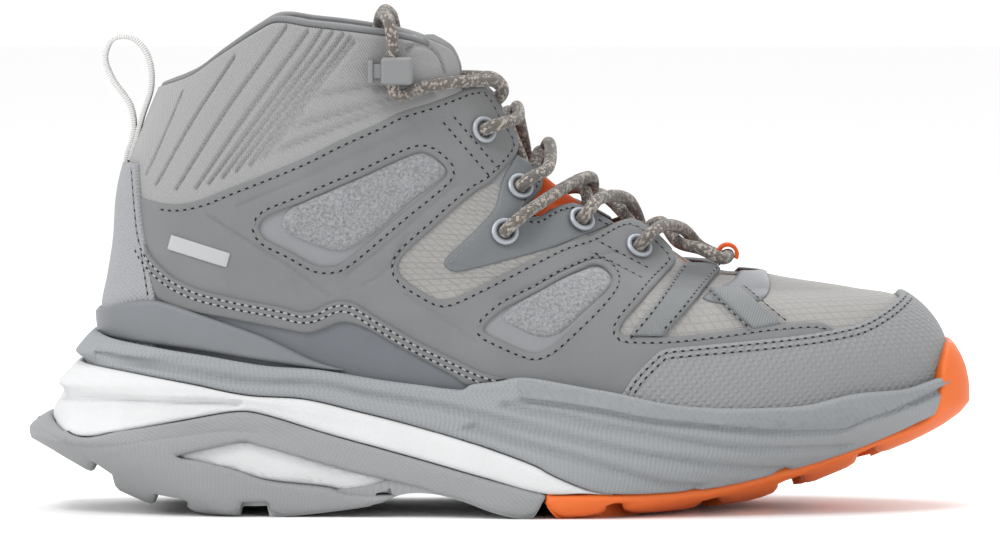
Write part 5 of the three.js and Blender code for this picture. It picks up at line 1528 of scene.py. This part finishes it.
def eyelets(skins):
    profile = [(2.75, -2.4), (3.7, -2.4), (3.7, 1.7), (4.55, 1.75), (4.7, 2.1), (4.5, 2.6), (4.1, 2.85),
               (3.6, 2.9), (3.1, 2.75), (2.8, 2.4)]
    sides = 40
    for side, name in SIDES.items():
        for i, place in enumerate(EYELET_PLACES):
            centre = on_upper(place, side, 0)
            n = Vector(upper_normal(place, side))
            turn = n.to_track_quat("Z", "Y").to_matrix()
            vertices = []
            for r, h in profile:
                for k in range(sides):
                    angle = 2 * math.pi * k / sides
                    point = turn @ Vector((r * math.cos(angle), r * math.sin(angle), h))
                    vertices.append(np.array(point) + centre)
            m = len(profile)
            faces = []
            for j in range(m):
                for k in range(sides):
                    a, b = j * sides + k, j * sides + (k + 1) % sides
                    c, d = ((j + 1) % m) * sides + (k + 1) % sides, ((j + 1) % m) * sides + k
                    faces.append((a, b, c, d))
            ring = new_object(f"eyelet {i + 1} {name}", np.array(vertices), faces, skins["eyelet"])
            sharpen(ring, 50)
            stands_for(ring, "eyelet", f"eyelet_{i + 1}_{name}")


def row_start(i, side, over):
    place = EYELET_PLACES[i]
    hole = [on_upper(place, side, offset) for offset in (-3, 0.2, 3.5)]
    edge = on_upper(OVER_EDGE[i], side, 4.9)
    out = upper_normal(place, side)
    towards = edge - hole[2]
    towards -= out * np.dot(towards, out)
    bend = hole[2] + towards / np.linalg.norm(towards) * 2.5 + out * 2.2
    crossing = LAST.at(np.array([[0.5, CROSSINGS[i]]]), UPPER_RUN if over else LOWER_RUN)[0]
    return [*hole, bend, edge, crossing]


def row_end(i, side):
    edge = on_upper(UNDER_EDGE[i + 1], side, -4.6)
    below = on_upper(EYELET_PLACES[i + 1], side, -4.9)
    return [edge, edge + (below - edge) * 0.72]


def lace_route(start_side):
    route = []
    side = start_side
    over = start_side == LATERAL
    for i in range(len(EYELET_PLACES)):
        route += row_start(i, side, over == (i % 2 == 0))
        side = -side
        if i < len(EYELET_PLACES) - 1:
            route += row_end(i, side)
    return route, side


BRAID_STEP = 0.42
BRAID_LAY = 11  # millimetres of lace for one turn of a strand


def braid(name, line, material):
    """A round braid: two sets of strands wound opposite ways, each passing over the other in turn."""
    sides, strands = 32, 8
    line = resample(line, BRAID_STEP)
    tangent = np.gradient(line, axis=0)
    tangent /= np.linalg.norm(tangent, axis=1, keepdims=True)
    n = len(line)
    normal = np.zeros((n, 3))
    start = np.cross(tangent[0], [0.3, 0.5, 0.8])
    normal[0] = start / np.linalg.norm(start)
    for i in range(1, n):
        v = normal[i - 1] - tangent[i] * np.dot(normal[i - 1], tangent[i])
        normal[i] = v / np.linalg.norm(v)
    other = np.cross(tangent, normal)
    angle = 2 * np.pi * np.arange(sides) / sides
    length = np.arange(n) * BRAID_STEP
    turn = 2 * np.pi * length / BRAID_LAY
    first = np.cos(strands * angle[None] + strands * turn[:, None] / 2)
    second = np.cos(strands * angle[None] - strands * turn[:, None] / 2)
    r = LACE_RADIUS + 0.34 * np.maximum(np.abs(first), np.abs(second)) - 0.26
    points = (
        line[:, None, :] + normal[:, None, :] * (r * np.cos(angle)[None])[..., None]
        + other[:, None, :] * (r * np.sin(angle)[None])[..., None]
    )
    uv = np.stack([np.repeat(length, sides), np.tile(angle * LACE_RADIUS, n)], axis=1)
    return new_object(name, points.reshape(-1, 3), tube_faces(n, sides), material, uv=uv)


def lacing(skins):
    outer, end = lace_route(LATERAL)
    inner, _ = lace_route(MEDIAL)

    def turn(side):
        return [np.array([67, side * 9.5, 86.6]), np.array([73.4, side * 9.6, 83.6])]

    bottom = [*turn(end), np.array([76, 0, 84.2]), *turn(-end)[::-1]]
    route = np.array([*outer, *bottom, *inner[::-1]])
    lace = braid("lace", spline(route, 0.6), skins["lace"])
    stands_for(lace, "lace", "lace")
    middle = np.array([75.8, 0, 84.6])
    angle = np.linspace(-0.5, math.pi + 0.9, 26)
    normals = np.stack([np.cos(angle), np.zeros(len(angle)), np.sin(angle)], axis=1)
    line = middle + (LACE_RADIUS + 1.1) * normals
    tag = sweep("lace loop tag", line, normals, rounded_bar(7, 1.3, 0.4), skins["orange_cloth"])
    stands_for(tag, "orange_cloth", "lace_loop_tag")


def rounded_bar(width, height, radius):
    """Profile of a flat bar with rounded corners, as (side, up) points."""
    steps = 4
    points = []
    for cx, cy, start in ((1, 1, 0), (-1, 1, 90), (-1, -1, 180), (1, -1, 270)):
        for k in range(steps + 1):
            angle = math.radians(start + 90 * k / steps)
            points.append((
                cx * (width / 2 - radius) + radius * math.cos(angle),
                cy * (height / 2 - radius) + radius * math.sin(angle),
            ))
    return points


LOCK_BORE_X = -35.3
LOCK_BORE = 2.45


def lock_centre():
    y = on_upper([-34.5, 147], LATERAL, 0)[1] - 6.4
    return np.array([-34.2, y, 146.6])


def block(name, low, high, radius, material, body, cuts=()):
    """A box with rounded edges, less boxes and round bores."""
    mesh = bmesh.new()
    bmesh.ops.create_cube(mesh, size=1)
    low, high = np.array(low, float), np.array(high, float)
    move = Matrix.Translation(Vector((low + high) / 2 * MM))
    stretch = Matrix.Diagonal((*((high - low) * MM), 1))
    bmesh.ops.transform(mesh, matrix=move @ stretch, verts=mesh.verts)
    bmesh.ops.bevel(mesh, geom=mesh.edges, offset=radius * MM, segments=5, profile=0.5, affect="EDGES")
    name = name.replace(" ", "_")
    data = bpy.data.meshes.new(name)
    mesh.to_mesh(data)
    mesh.free()
    data.materials.append(material)
    data.shade_smooth()
    piece = bpy.data.objects.new(name, data)
    bpy.context.collection.objects.link(piece)
    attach(piece, body)
    for cut in cuts:
        modifier = piece.modifiers.new("cut", "BOOLEAN")
        modifier.object = cut
        modifier.solver = "EXACT"
    if cuts:
        evaluated = piece.evaluated_get(bpy.context.evaluated_depsgraph_get())
        settled = bpy.data.meshes.new_from_object(evaluated)
        piece.modifiers.clear()
        piece.data = settled
        for cut in cuts:
            bpy.data.objects.remove(cut)
    sharpen(piece, 35)
    return piece


def bore(radius, low, high, x, y):
    bpy.ops.mesh.primitive_cylinder_add(
        vertices=48, radius=radius * MM, depth=(high - low) * MM,
        location=(x * MM, y * MM, (low + high) / 2 * MM),
    )
    return bpy.context.object


def cord_lock(skins):
    _, y, z = lock_centre()
    skin = skins["lock"]
    bore_body = bore(LOCK_BORE, 130, 160, LOCK_BORE_X, y)
    pocket = block("pocket", [-40.2, y - 3.4, z - 2.6], [-29.7, y + 3.4, z + 2.6], 0.3, skin, "lock_body")
    body = block("lock body", [-39.2, y - 4.6, 142.1], [-28.6, y + 4.6, 151.2], 1.4, skin, "lock_body",
                 [bore_body, pocket])
    stands_for(body, "lock", "lock_body")
    slot = block("slot", [-39.9, y - 2.4, z - 5], [-32.95, y + 2.4, z + 5], 0.3, skin, "lock_button")
    plunger = block("plunger", [-41.8, y - 3.1, z - 2.3], [-32.2, y + 3.1, z + 2.3], 0.4, skin, "lock_button",
                    [slot])
    plate = block("lock button", [-43.4, y - 4.2, z - 4], [-41.6, y + 4.2, z + 3.6], 0.7, skin, "lock_button")
    join([plate, plunger], "lock button")
    stands_for(plate, "lock", "lock_button")


def end_route(side):
    def across(x, reach, z):
        return np.array([x, side * reach, z])

    y = abs(lock_centre()[1])
    front = [on_upper([-4.6, 128.4], side, -5.4), on_upper([-3.4, 133], side, -5.8), across(1, 12.6, 138.6),
             across(-1.8, 17, 142.6)]
    run = [on_upper(place, side, 2.5) for place in ([-8, 142.4], [-14, 142.6], [-20, 141.9], [-26, 141])]
    lift = [across(-33.8, y - 0.4, 138.4)] + [across(LOCK_BORE_X, y, z) for z in (141.8, 147.5, 152, 157)]
    over = [across(*p) for p in ((-36.3, 38.4, 162.4), (-37.5, 33, 164.4), (-39, 25, 165), (-40, 18.8, 161.5),
                                 (-41, 18, 154), (-42, 17.6, 140), (-43, 17.4, 122), (-44, 17.2, 104))]
    return spline(np.array(front + run + lift + over), 2.0)


def lace_ends(skins):
    """The two free ends. The outer one carries the cord lock; both hang inside the boot to an aglet."""
    for side, name in SIDES.items():
        line = end_route(side)
        cord = braid(f"lace end {name}", line, skins["lace"])
        stands_for(cord, "lace", f"lace_end_{name}")
        last = line[-1]
        profile = [(0.3, 0), (2.1, 0), (2.35, -0.5), (2.35, -15), (2.0, -16), (0.3, -16)]
        sides = 28
        vertices = []
        for r, h in profile:
            for k in range(sides):
                angle = 2 * math.pi * k / sides
                vertices.append(last + [r * math.cos(angle), r * math.sin(angle), h - 0.2])
        aglet = new_object(f"aglet {name}", vertices, tube_faces(len(profile), sides), skins["tpu"])
        sharpen(aglet)
        stands_for(aglet, "tpu", f"aglet_{name}")


PULL_TAB = [
    [-124.9, 113], [-124.2, 117.6], [-121.9, 126], [-123, 134], [-129, 143], [-131.4, 150], [-129, 156],
    [-123.5, 157], [-118.8, 153.5], [-116.3, 147.5], [-116.1, 140], [-118.9, 131], [-121.4, 122],
    [-123.2, 116],
]


def pull_tab(skins):
    path = spline(PULL_TAB, 0.8)
    line = np.stack([path[:, 0], np.zeros(len(path)), path[:, 1]], axis=1)
    tangent = np.gradient(line, axis=0)
    normals = np.stack([tangent[:, 2], np.zeros(len(path)), -tangent[:, 0]], axis=1)
    normals /= np.linalg.norm(normals, axis=1, keepdims=True)
    tab = sweep("pull tab", line, normals, rounded_bar(10, 1.7, 0.5), skins["webbing_light"], "pull_tab")
    stands_for(tab, "webbing_light", "pull_tab")


# ------------------------------------------------------------------ the whole boot

add_camera()
skins = make_materials()
lace_ends(skins)
add_studio()
thread = Thread()
for side in SIDES:
    quarter(side, skins, thread)
    felts(side, skins)
    eyestay(side, skins, thread)
    foxing(side, skins, thread)
    rand(side, skins)
base_sheets(skins)
overlays(skins, thread)
insides(skins)
plates(skins)
tongue(skins)
midsole(skins)
carrier(skins)
outsoles(skins)
eyelets(skins)
lacing(skins)
cord_lock(skins)
pull_tab(skins)
# The hole kind is painted shade: dark dashes for the shadow in the stitch holes.
for kind in ("thread", "pale_thread", "hole"):
    thread.build(f"stitching {kind}", kind, skins[kind])
for skin, nodes in (("steel", ("shank", "lock_spring")), ("board", ("heel_counter", "toe_puff"))):
    for node in nodes:
        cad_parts[node].data.materials.clear()
        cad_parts[node].data.materials.append(skins[skin])
